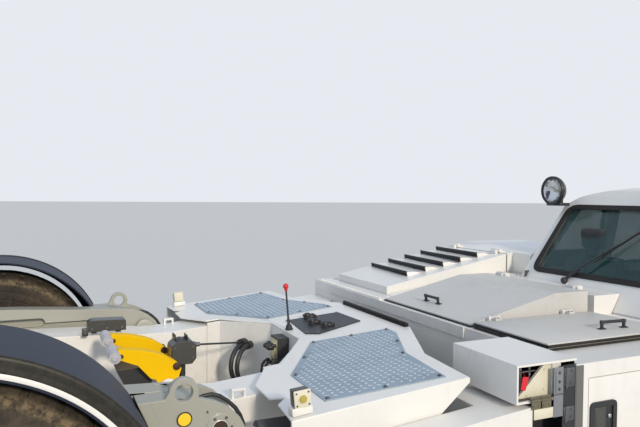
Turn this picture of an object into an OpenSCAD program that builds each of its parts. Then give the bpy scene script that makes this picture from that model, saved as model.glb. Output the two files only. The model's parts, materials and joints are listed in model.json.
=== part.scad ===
// Aircraft pushback tractor of the kind that lifts the nose gear without a towbar.
// +X points forward, +Y to the left, +Z up. The origin lies on the ground under the centre of the machine.

/* [Overall] */
// Length from the fork tips to the face of the front bumper
overall_l = 6100; // [5950:10:6300]
// Width over the body sides and the mudguards
overall_w = 2600; // [2560:10:2700]
// Height of the cab roof
cab_h = 1610; // [1590:5:1650]
// Distance between the axles
wheelbase = 4600; // [4550:10:4650]
// Distance from the front axle to the bumper face
front_overhang = 800; // [780:5:850]
// Height of the underside of the body
ground_gap = 250; // [220:5:280]

/* [Wheels] */
// Diameter of a rear tyre
rear_tyre_d = 1070; // [1040:5:1090]
// Width of a rear tyre
rear_tyre_w = 330; // [300:5:340]
// Diameter of a rear rim
rear_rim_d = 620; // [580:5:660]
// Diameter of a front tyre
front_tyre_d = 920; // [890:5:930]
// Width of a front tyre
front_tyre_w = 290; // [270:5:300]
// Diameter of a front rim
front_rim_d = 510; // [480:5:540]
// Distance between the middles of two tyres on an axle
track = 2200; // [2180:5:2210]
// Radius of the wheel axles
axle_r = 45; // [40:1:55]

/* [Swing arms] */
// Distance from the rear axle forward to the arm pivot
arm_l = 800; // [785:5:815]
// Height of the arm pivot
arm_pivot_z = 742; // [735:1:750]
// Inner face of an arm, from the centre plane
arm_in = 770; // [765:1:775]
// Thickness of an arm
arm_t = 110; // [100:1:115]
// Height of the top edge of an arm at its head
arm_top_z = 861; // [855:1:867]
// Radius of the round front end of an arm
arm_nose_r = 90; // [84:1:96]
// Radius of the arm pivot pin
arm_pin_r = 29; // [26:1:32]
// Outer face of the head of an arm, from the centre plane
head_out = 983; // [975:1:990]
// Thickness of the two cheeks of the head
cheek_t = 30; // [26:1:32]
// Outer radius of the mudguard
guard_r = 610; // [595:1:620]
// Thickness of the mudguard sheet
guard_t = 8; // [5:1:12]
// Depth of the lip on the mudguard's outer edge
guard_lip = 60; // [45:1:70]

/* [Cradle] */
// Distance from the rear axle forward to the rear edge of the deck
deck_from_axle = 1000; // [990:5:1010]
// Inner face of a fork leg, from the centre plane
leg_in = 505; // [495:1:515]
// Outer face of a fork leg, from the centre plane
leg_out = 755; // [745:1:760]
// Height of the underside of a fork leg
leg_bottom_z = 150; // [130:5:180]
// Step from the deck surface down to the top of a fork leg
leg_drop = 27; // [20:1:35]
// Height of the top of a fork leg behind the arm pivot
leg_top_z = 780; // [770:1:788]
// Step from the deck surface down to the side boxes
ledge_drop = 109; // [100:1:120]
// Height of the deck surface at its rear edge
deck_rear_z = 790; // [780:1:800]
// Forward rise of the deck in degrees
deck_pitch = 5.2; // [4.5:0.1:6]
// Thickness of the deck plate
deck_t = 8; // [6:1:12]
// Half the width of the deck
deck_half_w = 1140; // [1120:5:1150]
// Thickness of the tread plates
tread_t = 4; // [3:1:6]

/* [Body] */
// Distance from the rear axle forward to the bulkhead
bulkhead_from_axle = 2150; // [2140:5:2170]
// Height of the body top beside the hatches
body_top_z = 900; // [890:1:910]
// Thickness of the body panels
panel_t = 10; // [8:1:12]
// Length of the ribbed step
step_l = 130; // [120:5:140]
// Length of the louvred hood
hood_l = 980; // [965:5:990]
// Height of the hood's front edge
hood_top_z = 1136; // [1128:1:1145]
// Height of the hood's rear edge
hood_low_z = 952; // [945:1:960]
// Inner side of the louvred hood, from the centre plane
hood_in = 432; // [425:1:440]
// Outer side of the louvred hood, from the centre plane
hood_out = 1140; // [1130:1:1150]
// Top of the front fenders
fender_z = 990; // [982:1:994]
// Height of the top of the front wheel arches
arch_top_z = 970; // [960:1:975]
// Half the length of a front wheel arch
arch_half = 570; // [560:1:575]

/* [Cab] */
// Outer side of the cab on the right, from the centre plane
cab_right = 1240; // [1230:5:1245]
// Outer side of the cab on the left, from the centre plane
cab_left = 250; // [235:5:260]
// Height of the line below the windows
belt_z = 1030; // [1027:1:1035]
// How far the sides lean in between the belt line and the roof
lean = 110; // [90:5:125]
// Thickness of the cab walls
cab_wall = 35; // [30:1:40]
// Thickness of the glass
glass_t = 6; // [5:1:8]

/* [Fits] */
// Radial clearance of a pin in its bore
fit = 0.05; // [0.02:0.01:0.1]
// Gap between a piece and the seat it rests on
seat = 0.3; // [0.2:0.1:0.5]
// Gap round a door or a lid
shut_gap = 8; // [6:1:12]

/* [Hidden] */
$fn = 48;
eps = 0.01;

half_l = overall_l / 2;
half_w = overall_w / 2;
side_y = half_w - 15;
front_axle_x = half_l - front_overhang;
rear_axle_x = front_axle_x - wheelbase;
rear_axle_z = rear_tyre_d / 2;
front_axle_z = front_tyre_d / 2;
wheel_half = track / 2;
tip_x = -half_l;

// Cradle stations
pivot_x = rear_axle_x + arm_l;
deck_rear_x = rear_axle_x + deck_from_axle;
deck_front_x = deck_rear_x + 951;
slope = tan(deck_pitch);
function deck_z(x) = deck_rear_z + (x - deck_rear_x) * slope;
arm_out = arm_in + arm_t;
pit_x = deck_rear_x + 410;
pit_floor_z = 300;
beam_rear_x = deck_rear_x - 290;
beam_front_x = deck_rear_x - 90;
beam_top_z = 590;

// Body stations
bulkhead_x = rear_axle_x + bulkhead_from_axle;
hood_x = bulkhead_x + step_l;
hood_end_x = hood_x + hood_l;
hatch_x = bulkhead_x + 35;
hatch_end_x = hatch_x + 790;
mid_right = 550;
mid_left = 285;
near_in = 562;
near_out = 1090;
mid_high_z = body_top_z + 130;
corner_x = bulkhead_x - 327;
corner_in = 900;
corner_z = body_top_z - 120;
sponson_x = bulkhead_x - 810;
recess_x = corner_x + 78;
recess_z = 560;
function ledge_z(x) = deck_z(x) - ledge_drop;
// The hood's slope runs on over the raised panel beside the cab
function hood_z(x) = hood_low_z + (x - hood_x) * (hood_top_z - hood_low_z) / hood_l;
cab_rear_x = bulkhead_x + 1015;
raised_x = cab_rear_x + 285;
raised_z = hood_z(raised_x);

// Cab stations
cab_floor_z = 380;
cab_low_front_x = cab_rear_x + 845;
screen_x = cab_low_front_x + 690;
rear_rake = 0.62;
front_rake = 0.52;
function rear_wall_x(z) = cab_rear_x + (z - body_top_z) * rear_rake;
cab_rear_top_x = rear_wall_x(cab_h);
foot_half = 600;
door_rear_x = cab_rear_x + 95;
door_front_x = cab_low_front_x - 50;
mid_y = (cab_left - cab_right) / 2;
door_sill_z = 440;
door_top_z = cab_h - 95;
fender_x = cab_low_front_x + 5;

// Colours
white = "#eceae4";
grey = "#a9aaa3";
dark = "#3c3f41";
black = "#1b1c1d";
yellow = "#f3c000";

// Points mirrored to the other side of the centre plane, in reverse order
function other_side(p) = [for (i = [len(p) - 1 : -1 : 0]) [p[i][0], -p[i][1]]];
function both_sides(p) = concat(p, other_side(p));
// Points along an arc
function arc(cx, cy, r, a0, a1, n) = [for (i = [0 : n]) let (a = a0 + (a1 - a0) * i / n)
    [cx + r * cos(a), cy + r * sin(a)]];

// An outline in X and Z, given a thickness from y0 to y1
module side_plate(y0, y1) {
    translate([0, max(y0, y1), 0]) rotate([90, 0, 0]) linear_extrude(abs(y1 - y0)) children();
}
// A cylinder along Y from y0 to y1
module y_rod(x, z, y0, y1, r) {
    translate([x, min(y0, y1), z]) rotate([-90, 0, 0]) cylinder(r = r, h = abs(y1 - y0));
}
// A straight rod between two points
module rod_between(a, b, r) {
    d = b - a;
    translate(a) rotate([0, acos(d[2] / norm(d)), atan2(d[1], d[0])]) cylinder(r = r, h = norm(d));
}
// A block between two corners
module block(a, b) {
    translate(a) cube(b - a);
}
// A child on the right as drawn, or mirrored to the left
module on_side(left) {
    if (left) mirror([0, 1, 0]) children();
    else children();
}
// The fixed half of a hinge along Z: a pin between two end lugs
module hinge_pin(r, len, lug) {
    translate([0, 0, -len / 2]) cylinder(r = r, h = len);
    for (z = [-len / 2, len / 2 - lug]) translate([0, 0, z]) cylinder(r = r * 2, h = lug);
}
// The moving half: a sleeve on the pin
module hinge_sleeve(r, len, lug) {
    h = len - 2 * lug - 2 * seat;
    translate([0, 0, -h / 2]) difference() {
        cylinder(r = r * 2, h = h);
        translate([0, 0, -1]) cylinder(r = r + fit, h = h + 2);
    }
}
// What lies above the deck surface, or above a level below it
module above_deck(drop) {
    translate([deck_rear_x, 0, deck_rear_z - drop]) rotate([0, -deck_pitch, 0])
        translate([-2500, -1500, 0]) cube([6000, 3000, 900]);
}
// A child drawn on z = 0 laid on the deck surface, with X kept
module on_deck(up = seat) {
    translate([deck_rear_x, 0, deck_rear_z]) rotate([0, -deck_pitch, 0])
        translate([-deck_rear_x, 0, up]) children();
}

// Chassis

rail_y = 330;
rail_w = 110;
rail_z0 = 250;
rail_z1 = 370;
module main_frame() color(dark) {
    for (s = [-1, 1]) {
        y0 = s > 0 ? rail_y : -rail_y - rail_w;
        block([pit_x + 40, y0, rail_z0], [half_l - 110, y0 + rail_w, rail_z1]);
    }
    // Cross-members: place and half width
    for (c = [[bulkhead_x + 30, side_y - 30], [cab_rear_x + 40, side_y - 30],
        [cab_low_front_x - 100, side_y - 30], [front_axle_x + 330, 600]]) {
        block([c[0], -c[1], rail_z0], [c[0] + 90, c[1], rail_z0 + 80]);
    }
    // Pads under the cab floor
    for (x = [cab_rear_x + 40, cab_low_front_x - 100]) for (y = [-1040, 60])
        block([x, y, rail_z0 + 75], [x + 90, y + 90, cab_floor_z - seat]);
    block([bulkhead_x + 30, -side_y + 30, rail_z0 - 12], [cab_low_front_x, side_y - 30, rail_z0]);
    for (s = [-1, 1]) block([pit_x + 40, s > 0 ? rail_y + rail_w : -leg_in, rail_z0],
        [pit_x + 330, s > 0 ? leg_in : -rail_y - rail_w, rail_z1]);
}

deck_half = [[deck_front_x, 372], [deck_front_x - 189, 786], [deck_front_x - 224, deck_half_w],
    [deck_rear_x, deck_half_w], [deck_rear_x + 14, 969], [deck_rear_x + 60, 920],
    [deck_rear_x + 7, 893], [deck_rear_x + 8, 725], [deck_rear_x + 118, 525],
    [deck_rear_x + 192, 523], [pit_x, 200]];
skirt_low_z = 520;
module cradle_deck() color(white) {
    on_deck(-deck_t) linear_extrude(deck_t) polygon(both_sides(deck_half));
    for (s = [-1, 1]) difference() {
        side_plate(s * deck_half_w, s * (deck_half_w - panel_t)) polygon([[deck_rear_x, skirt_low_z],
            [deck_rear_x + 340, skirt_low_z], [deck_front_x - 224, deck_z(deck_front_x - 224) - 20],
            [deck_front_x - 224, 900], [deck_rear_x, 900]]);
        above_deck(deck_t / 2);
    }
    difference() {
        side_plate(372, -372) polygon([[deck_front_x - 12, 700], [deck_front_x, 700],
            [deck_front_x, 900], [deck_front_x - 12, 900]]);
        above_deck(deck_t / 2);
    }
}

pit_half = [[deck_rear_x + 118, leg_in - 10], [deck_rear_x + 192, leg_in - 10], [pit_x, 200]];
pit_outer = [[deck_rear_x + 118, leg_in], [deck_rear_x + 197, leg_in], [pit_x + 10, 206]];
module cradle_frame() color(white) {
    difference() {
        translate([0, 0, pit_floor_z]) linear_extrude(700) difference() {
            polygon(both_sides(pit_outer));
            polygon(both_sides(pit_half));
        }
        above_deck(deck_t + seat);
        block([deck_rear_x, -leg_in + 10 + eps, pit_floor_z], [deck_rear_x + 130, leg_in - 10 - eps, 950]);
    }
    block([beam_rear_x, -leg_in, pit_floor_z - 12], [pit_x + 40, leg_in, pit_floor_z]);
    block([beam_rear_x, -leg_in, pit_floor_z], [beam_front_x, leg_in, beam_top_z]);
    for (s = [-1, 1]) for (y = [ear_in, ear_out]) {
        side_plate(s * y, s * (y + ear_t)) difference() {
            union() {
                translate([hold_x, hold_z]) circle(r = 42);
                translate([hold_x - 42, beam_top_z - 5]) square([84, hold_z - beam_top_z + 5]);
            }
        }
    }
    for (s = [-1, 1]) y_rod(hold_x, hold_z, s * (ear_in), s * (ear_out + ear_t), hold_pin_r);
    scoop();
}
nose_tyre_r = 390;
scoop_x = rear_axle_x + 270;
scoop_z = 525;
module scoop() {
    translate([0, leg_in, 0]) rotate([90, 0, 0]) linear_extrude(2 * leg_in)
        polygon(concat(arc(scoop_x, scoop_z, nose_tyre_r + 12, 262, 352, 14),
            arc(scoop_x, scoop_z, nose_tyre_r, 352, 262, 14)));
    block([scoop_x + nose_tyre_r - 25, -leg_in, pit_floor_z], [beam_rear_x, leg_in, pit_floor_z + 90]);
}

leg_tip = 250;
lamp_t = 14;
boss_r = 50;
leg_half = [[tip_x + lamp_t, leg_bottom_z + 60], [tip_x + 60, leg_bottom_z], [pit_x + 330, leg_bottom_z],
    [pit_x + 330, deck_z(pit_x + 330) - leg_drop],
    [deck_rear_x - 100, deck_z(deck_rear_x - 100) - leg_drop],
    [pivot_x - 50, leg_top_z - 24], [pivot_x - 250, leg_top_z - 10], [pivot_x - 590, leg_top_z],
    [tip_x + leg_tip, leg_top_z], [tip_x + 90, 560], [tip_x + lamp_t, 400]];
module fork_legs() color(white) for (left = [false, true]) on_side(left) {
    side_plate(-leg_in, -leg_out) polygon(leg_half);
    // Boss and pin that carry the swing arm
    side_plate(-leg_out + 20, -arm_in + seat) {
        translate([pivot_x, arm_pivot_z]) circle(r = boss_r);
        translate([pivot_x - boss_r, arm_pivot_z - 90]) square([2 * boss_r, 90]);
    }
    y_rod(pivot_x, arm_pivot_z, -leg_out + 20, -head_out - 3, arm_pin_r);
    // Carrying handle on top of the leg
    handle_x = deck_rear_x - 92;
    handle_z = deck_z(handle_x + 30) - leg_drop;
    for (x = [handle_x, handle_x + 48])
        block([x, -leg_out + 10, handle_z - 8], [x + 10, -leg_out + 40, handle_z + 34]);
    block([handle_x, -leg_out + 10, handle_z + 24], [handle_x + 58, -leg_out + 40, handle_z + 34]);
    // Lugs of the gate
    for (z = [gate_z0 - 22, gate_z1 + 2])
        block([gate_x - 30, -leg_in - 10, z], [gate_x + 30, -gate_y + 30, z + 20]);
    translate([gate_x, -gate_y, gate_z0 - 22]) cylinder(r = gate_pin_r, h = gate_z1 - gate_z0 + 44);
}

tread_half = [[deck_rear_x + 166, 1047], [deck_rear_x + 168, 707], [deck_rear_x + 429, 309],
    [deck_rear_x + 842, 331], [deck_rear_x + 836, 428], [deck_rear_x + 698, 733],
    [deck_rear_x + 655, 1088]];
module tread_plates() color("#9aa3ad") on_deck() linear_extrude(tread_t) {
    polygon(tread_half);
    polygon(other_side(tread_half));
}

module connector_plate() color(black) on_deck() {
    linear_extrude(5) polygon([[deck_rear_x + 505, 186], [deck_rear_x + 469, -147],
        [deck_rear_x + 525, -194], [deck_rear_x + 811, -97], [deck_rear_x + 803, 171]]);
    for (c = [[deck_rear_x + 606, 150], [deck_rear_x + 575, 12], [deck_rear_x + 607, -88]])
        translate([c[0], c[1], 4]) {
            cylinder(r = 17, h = 22);
            translate([-14, -14, 0]) cube([60, 28, 11]);
        }
}

whip_l = 232;
module whip_marker() color("#c21f2c") on_deck() translate([pit_x + 26, 0, 0]) {
    cylinder(r = 17, h = 22);
    translate([0, 0, 20]) cylinder(r = 4, h = whip_l - 28);
    translate([0, 0, whip_l]) sphere(r = 15);
}

// Push-button station on each rear corner of the deck
box_w = 68;
module button_boxes() color("#dcd8c4") on_deck() for (left = [false, true]) on_side(left) {
    translate([deck_rear_x + 28, -deck_half_w + 24, 0]) {
        cube([box_w, box_w, 84]);
        translate([box_w / 2, 0, 48]) rotate([90, 0, 0]) cylinder(r = 14, h = 10);
    }
}

// Hoses leave the pit through a grommet in the left diagonal wall
wall_turn = atan2(pit_half[1][0] - pit_half[2][0], pit_half[2][1] - pit_half[1][1]);
grommet = [deck_rear_x + 298, 351, 690];
hose_r = 13;
hose_bend = 105;
module pit_equipment() color(black) {
    block([pit_x - 60, -60, 640], [pit_x, 50, 800]);
    block([pit_x - 95, -110, 600], [pit_x, -60, 700]);
    for (y = [-30, 30]) translate([pit_x - 60, y, 760]) rotate([0, -90, 0]) cylinder(r = 12, h = 26);
    translate(grommet) rotate([0, 0, wall_turn]) {
        translate([seat, 0, 0]) rotate([0, 90, 0]) cylinder(r = 32, h = 34);
        // Two hoses that hang in a bow down the wall
        for (y = [0, 42]) translate([seat + 20, y, -hose_bend]) rotate([90, 0, 0]) rotate([0, 0, -80])
            rotate_extrude(angle = 170) translate([hose_bend, 0]) circle(r = hose_r, $fn = 16);
        rotate([0, 90, 0]) translate([0, 42, seat]) cylinder(r = 22, h = 30);
    }
    rod_between([sensor_x + 68, 24, 790], grommet + [-24, -18, 12], 5);
}

sensor_x = deck_rear_x - 130;
module sensor_box() color(dark) {
    // Housing with cut corners on a post
    translate([sensor_x, 0, 0]) {
        side_plate(-56, 56) polygon([[-60, 736], [-60, 808], [-34, 830], [40, 830], [60, 806],
            [60, 742], [40, 715], [-34, 715]]);
        block([-52, -36, 829], [26, 36, 858]);
        translate([0, 0, beam_top_z]) cylinder(r = 17, h = 130);
        translate([0, 0, beam_top_z]) cylinder(r = 34, h = 46);
    }
    // Black stop pads below the hold-down arms
    side_plate(-120, 120) polygon([[beam_rear_x - 160, 735], [beam_rear_x - 5, 745],
        [beam_rear_x, beam_top_z], [beam_rear_x - 40, beam_top_z], [beam_rear_x - 125, 665]]);
    // Guard on the inner edge of the left leg, tapered to the rear
    guard_top = leg_top_z + 90;
    guard_x = deck_rear_x - 370;
    side_plate(leg_in + 35, leg_in - 55) polygon([[guard_x - 303, leg_top_z + 2], [guard_x, leg_top_z + 2],
        [guard_x, guard_top - 20], [guard_x - 20, guard_top], [guard_x - 205, guard_top],
        [guard_x - 303, leg_top_z + 50]]);
    block([guard_x - 205, leg_in - 55, leg_top_z - 60], [guard_x - 60, leg_in - seat, leg_top_z + 3]);
}

// Body

hood_pin_up = 16;
mid_pin_x = hatch_end_x + 18;
mid_pin_z = mid_high_z + 6;
near_pin_y = -near_in - 4;
near_pin_z = body_top_z + 32;
near_pins = [hatch_x + 130, hatch_end_x - 170];
hood_pins = [hood_in + 110, hood_out - 110];
raised_step_x = cab_rear_x + 150;
module raised_panel(in) {
    x0 = hood_end_x + 6 + in;
    x1 = cab_low_front_x - in;
    low = body_top_z - 20 - in;
    side_plate(hood_in + in, hood_out - in) polygon([[x0, low], [x0, hood_z(x0) - in],
        [raised_x, raised_z - in], [x1, raised_z - in], [x1, low]]);
    side_plate(cab_left + 8 + in, hood_in + in + 1) polygon([[raised_step_x + in, low],
        [raised_step_x + in, hood_z(raised_step_x) - in], [raised_x, raised_z - in],
        [x1, raised_z - in], [x1, low]]);
}
plinth_z = body_top_z + 100;
module body_top() color(white) {
    side = side_y - panel_t;
    zb = body_top_z - 8;
    // Bulkhead between the cradle and the engine room
    block([bulkhead_x, -side, rail_z1 + seat], [bulkhead_x + panel_t, side, zb - 12]);
    // Top frame round the hatches
    difference() {
        union() {
            block([bulkhead_x, -side, zb - 12], [cab_rear_x - 12, side, zb]);
            block([cab_rear_x - 13, hood_in - 8, zb - 12], [hood_end_x + 8, side, zb]);
            block([hood_end_x, hood_out - 20, zb - 12], [cab_low_front_x, side, zb]);
        }
        block([hood_x + 20, hood_in + 25, 800], [hood_end_x - 20, hood_out - 25, 950]);
        block([hatch_x + 30, -mid_right + 25, 800], [hatch_end_x - 30, mid_left - 25, 950]);
        block([hatch_x + 30, -near_out + 30, 800], [hatch_end_x - 30, -near_in - 30, 950]);
    }
    // Rising strip between the mid hatch and the hood, and the plinth before the cab
    side_plate(mid_left + 8, hood_in - 8) polygon([[hood_x - 10, zb - eps], [hood_x - 10, body_top_z + 5],
        [mid_pin_x - 18, plinth_z - 3], [mid_pin_x + 30, plinth_z], [rear_wall_x(plinth_z) - 4, plinth_z],
        [cab_rear_x - 4, body_top_z], [cab_rear_x - 4, zb - eps]]);
    side_plate(-mid_right, mid_left + 8 + eps) polygon([[mid_pin_x + 30, zb - eps],
        [mid_pin_x + 30, plinth_z],
        [rear_wall_x(plinth_z) - 4, plinth_z], [cab_rear_x - 4, body_top_z], [cab_rear_x - 4, zb - eps]]);
    // Raised panel beside the cab, carrying on the slope of the hood
    difference() {
        raised_panel(0);
        raised_panel(panel_t);
    }
    // Hinge pins of the hood and the mid hatch
    for (y = hood_pins) {
        translate([hood_end_x, y, hood_top_z + hood_pin_up]) rotate([90, 0, 0]) hinge_pin(7, 90, 15);
        for (d = [-45, 30]) block([hood_end_x + 7, y + d, hood_top_z - 2],
            [hood_end_x + 40, y + d + 15, hood_top_z + hood_pin_up]);
    }
    // Posts with the pins of the mid hatch
    for (y = [-mid_right + 120, mid_left - 120]) {
        translate([mid_pin_x, y, mid_pin_z]) rotate([90, 0, 0]) hinge_pin(7, 90, 15);
        for (d = [-45, 30])
            block([mid_pin_x + 4, y + d, body_top_z - 12], [mid_pin_x + 24, y + d + 15, mid_pin_z + 8]);
    }
    // Pins of the near hatch
    for (x = near_pins) translate([x, near_pin_y, near_pin_z]) {
        rotate([0, 90, 0]) hinge_pin(5, 70, 12);
        for (d = [-35, 23]) block([d, -9, body_top_z - 10 - near_pin_z], [d + 12, 9, 0]);
    }
}

// Wheel arch, wide enough for the steered wheel, with an outline grown by g
module arch_cut(g = 0) {
    half = [[arch_half, 0], [arch_half, 600], [arch_half - 60, 780], [arch_half - 170, 905],
        [arch_half - 300, arch_top_z]];
    grown = [for (p = half) [p[0] + g, p[1] + (p[1] > 0 ? g : 0)]];
    translate([front_axle_x, 0]) polygon(concat(grown,
        [for (i = [len(grown) - 1 : -1 : 0]) [-grown[i][0], grown[i][1]]]));
}
nose_x = half_l - 60;
module fender(side_sign) {
    // Fender top and the liner inside the wheel arch
    s = side_sign;
    y0 = s > 0 ? nose_half + 8 : -side_y + panel_t;
    y1 = s > 0 ? side_y - panel_t : -nose_half - 8;
    difference() {
        block([fender_x, y0, ground_gap + 60], [nose_x, y1, fender_z]);
        translate([0, y1 + 1, 0]) rotate([90, 0, 0]) linear_extrude(y1 - y0 + 2) arch_cut();
        translate([0, y1 - (s > 0 ? -1 : 8), 0]) rotate([90, 0, 0]) linear_extrude(y1 - y0 + 1 - 8)
            difference() {
                translate([fender_x + 8, 0]) square([nose_x - fender_x - 16, fender_z - 8]);
                arch_cut(8);
            }
        nose_cut();
    }
}
module nose_cut() {
    // The nose falls away forwards
    translate([0, half_w + 50, 0]) rotate([90, 0, 0]) linear_extrude(2 * half_w + 100)
        polygon([[screen_x + 150, fender_z + 40], [screen_x + 150, fender_z], [nose_x - 40, fender_z - 190],
            [nose_x + 20, fender_z - 260], [nose_x + 100, fender_z + 40]]);
}
module under_corner_box() {
    block([corner_x - 1, -side_y - 1, corner_z - seat],
        [bulkhead_x - 35 + seat, 1 - corner_in, body_top_z]);
}
module body_side(left) color(white) {
    y0 = -side_y;
    y1 = -side_y + panel_t;
    step_x = sponson_x + 40;
    difference() {
        side_plate(y0, y1) difference() {
            polygon(concat([[sponson_x, ground_gap], [nose_x, ground_gap], [nose_x, fender_z],
                [fender_x, fender_z]],
                left ? [[fender_x - 90, body_top_z], [bulkhead_x, body_top_z],
                [bulkhead_x, ledge_z(bulkhead_x)]]
                : [[fender_x, door_sill_z - 20], [cab_rear_x, door_sill_z - 20], [cab_rear_x, body_top_z],
                [bulkhead_x - 35, body_top_z], [bulkhead_x - 35, recess_z], [recess_x, recess_z],
                [recess_x, ledge_z(recess_x)]],
                [[step_x, ledge_z(step_x)], [sponson_x, ledge_z(step_x) - 40]]));
            arch_cut();
            if (!left) {
                translate([service_x, service_z0]) square([service_w, service_z1 - service_z0]);
                for (z = service_hinges) translate([service_x + service_w - 1, z - 23]) square([25, 46]);
            }
        }
        nose_cut();
    }
    // Side box behind the bulkhead, with its top parallel to the deck
    box_in = -deck_half_w - 8;
    difference() {
        block([sponson_x, y1 - eps, ground_gap], [bulkhead_x, box_in, body_top_z]);
        difference() {
            block([sponson_x + panel_t, y1 - 1, ground_gap - 1],
                [bulkhead_x + 1, box_in - panel_t, body_top_z]);
            above_deck(ledge_drop + panel_t);
        }
        above_deck(ledge_drop);
        translate([sponson_x, 0, ledge_z(step_x)]) rotate([0, 45, 0]) cube([57, 4000, 57], center = true);
        if (!left) {
            block([recess_x, y0 - 1, recess_z], [bulkhead_x - 35, box_in - panel_t, body_top_z]);
            under_corner_box();
        }
    }
    // Ledge between the deck and the bulkhead
    difference() {
        block([deck_front_x - 212, box_in - 2, ledge_z(deck_front_x - 212) - panel_t],
            [bulkhead_x, box_in + 168, body_top_z]);
        above_deck(ledge_drop);
        if (!left) under_corner_box();
    }
    on_side(true) fender(1);
    if (!left) {
        block([cab_rear_x + panel_t, y1 - eps, door_sill_z - 30],
            [fender_x, -cab_right - 2, door_sill_z - 20]);
        for (z = service_hinges) translate([service_x + service_w + 8, y0 - 4, z]) hinge_pin(5, 70, 12);
    }
}

service_x = bulkhead_x + 30;
service_w = 560;
service_z0 = 330;
service_z1 = body_top_z - 60;
service_hinges = [service_z0 + 90, service_z1 - 90];
module service_door() color(white) {
    block([service_x + shut_gap, -side_y, service_z0 + shut_gap],
        [service_x + service_w - shut_gap, -side_y + 20, service_z1 - shut_gap]);
    for (z = service_hinges) {
        translate([service_x + service_w + 8, -side_y - 4, z]) hinge_sleeve(5, 70, 12);
        block([service_x + service_w - 30, -side_y - 6, z - 20],
            [service_x + service_w, -side_y + 1, z + 20]);
    }
    // Paddle latch
    block([service_x + 80, -side_y - 6, 600], [service_x + 200, -side_y + 1, 740]);
}

module corner_box() color(white) {
    z1 = body_top_z + 25;
    difference() {
        block([corner_x, -side_y, corner_z], [bulkhead_x - 35, -corner_in, z1]);
        block([corner_x + 8, -side_y - 1, corner_z + 8], [bulkhead_x - 34, -corner_in - 8, z1 - 8]);
    }
    // Bracket and hinge inside the open side
    side_plate(-side_y + 30, -side_y + 38) polygon([[corner_x + 20, corner_z + 7],
        [corner_x + 190, corner_z + 7], [corner_x + 190, z1 - 20], [corner_x + 160, z1 - 12]]);
    block([corner_x + 190, -side_y + 20, corner_z + 7], [corner_x + 232, -side_y + 60, z1 - 7]);
}

stud_pitch = 38;
module ribbed_step() color(white) {
    block([bulkhead_x, mid_left + 20, body_top_z - 8], [hood_x - 12, side_y - 17, body_top_z + 2]);
    for (y = [mid_left + 50 : stud_pitch : side_y - 60])
        translate([bulkhead_x + 20, y, body_top_z + 2]) cylinder(r = 9, h = 6);
    block([bulkhead_x - 10, -mid_right, body_top_z - 60], [bulkhead_x, side_y - 17, body_top_z - 5]);
}

nose_half = 632;
nose_t = 8;
module nose_panel() color(white) {
    // Bonnet between the fenders and the front panel with its grille
    difference() {
        union() {
            block([screen_x - 250, -nose_half, front_axle_z + 75], [nose_x, nose_half, fender_z]);
            block([nose_x - 10, -nose_half, 450], [nose_x, nose_half, 600]);
        }
        block([screen_x - 260, -nose_half + nose_t, 440], [nose_x - 10, nose_half - nose_t, fender_z - 10]);
        nose_cut();
        for (i = [0 : 6]) block([nose_x - 30, -330, 560 + i * 28], [nose_x + 1, 330, 574 + i * 28]);
    }
    difference() {
        side_plate(-nose_half + nose_t, nose_half - nose_t) polygon([[screen_x + 150, fender_z - 10],
            [screen_x + 150, fender_z],
            [nose_x - 40, fender_z - 190], [nose_x, fender_z - 233], [nose_x, fender_z - 248],
            [nose_x - 46, fender_z - 200]]);
    }
}

hitch_z = 400;
hitch_pin_d = 38;
module front_bumper() color(dark) {
    difference() {
        block([half_l - 60, -half_w + 60, ground_gap + 20], [half_l - 20, half_w - 60, ground_gap + 240]);
        block([half_l - 61, -140, hitch_z - 50], [half_l - 19, 140, hitch_z + 50]);
        translate([half_l - 35, 0, ground_gap]) cylinder(r = 46, h = 400);
    }
    for (s = [-1, 1]) block([half_l - 110, s > 0 ? rail_y : -rail_y - rail_w, rail_z0 + 5],
        [half_l - 60, s > 0 ? rail_y + rail_w : -rail_y, rail_z1 - 5]);
    // Towbar jaw with its pin hole
    difference() {
        union() {
            block([half_l - 110, -140, hitch_z - 50], [half_l - 70, 140, hitch_z + 50]);
            for (z = [hitch_z - 45, hitch_z + 20]) block([half_l - 75, -60, z], [half_l, 60, z + 25]);
        }
        translate([half_l - 35, 0, hitch_z - 60]) cylinder(d = hitch_pin_d, h = 120);
    }
    for (s = [-1, 1]) block([half_l - 110, s > 0 ? 135 : -rail_y, hitch_z - 40],
        [half_l - 75, s > 0 ? rail_y : -135, hitch_z + 10]);
}

spot_z = cab_h - 23;
spot_x = rear_wall_x(spot_z) - 142;
spot_y = cab_left - lean + 40;
spot_r = 98;
spot_foot_z = spot_z - 95;
module lamps() color("#d8d8d8") {
    // Headlamps
    for (s = [-1, 1]) translate([nose_x, s * 480, 640]) rotate([0, 90, 0]) cylinder(r = 80, h = 24);
    // Spotlight on the cab's rear corner
    translate([spot_x, spot_y, spot_z]) rotate([0, -90, 0]) cylinder(r = spot_r, h = 30);
    translate([spot_x, spot_y, spot_z]) rotate([0, 90, 0]) cylinder(r1 = spot_r - 4, r2 = 40, h = 46);
    block([spot_x - 18, spot_y - 66, spot_foot_z - 8],
        [rear_wall_x(spot_foot_z - 8) - seat, spot_y - 48, spot_foot_z + 40]);
    // Turning lamp on the roof
    translate([cab_rear_top_x + 500, mid_y, cab_h + seat]) cylinder(r = 60, h = 30);
    // Tail lamps on the fork tips
    for (s = [-1, 1]) translate([tip_x, s * (leg_in + leg_out) / 2 - 50, 260]) cube([lamp_t, 100, 80]);
}

module engine_block() color(dark) {
    block([hood_x + 40, 350, rail_z1 + 40], [hood_end_x - 40, 1050, body_top_z - 80]);
    block([hood_x + 120, 500, body_top_z - 81], [hood_end_x - 160, 960, body_top_z - 10]);
    for (x = [hood_x + 100, hood_end_x - 150]) block([x, 360, rail_z1], [x + 60, 420, rail_z1 + 41]);
}

// Front axle and steering

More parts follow.
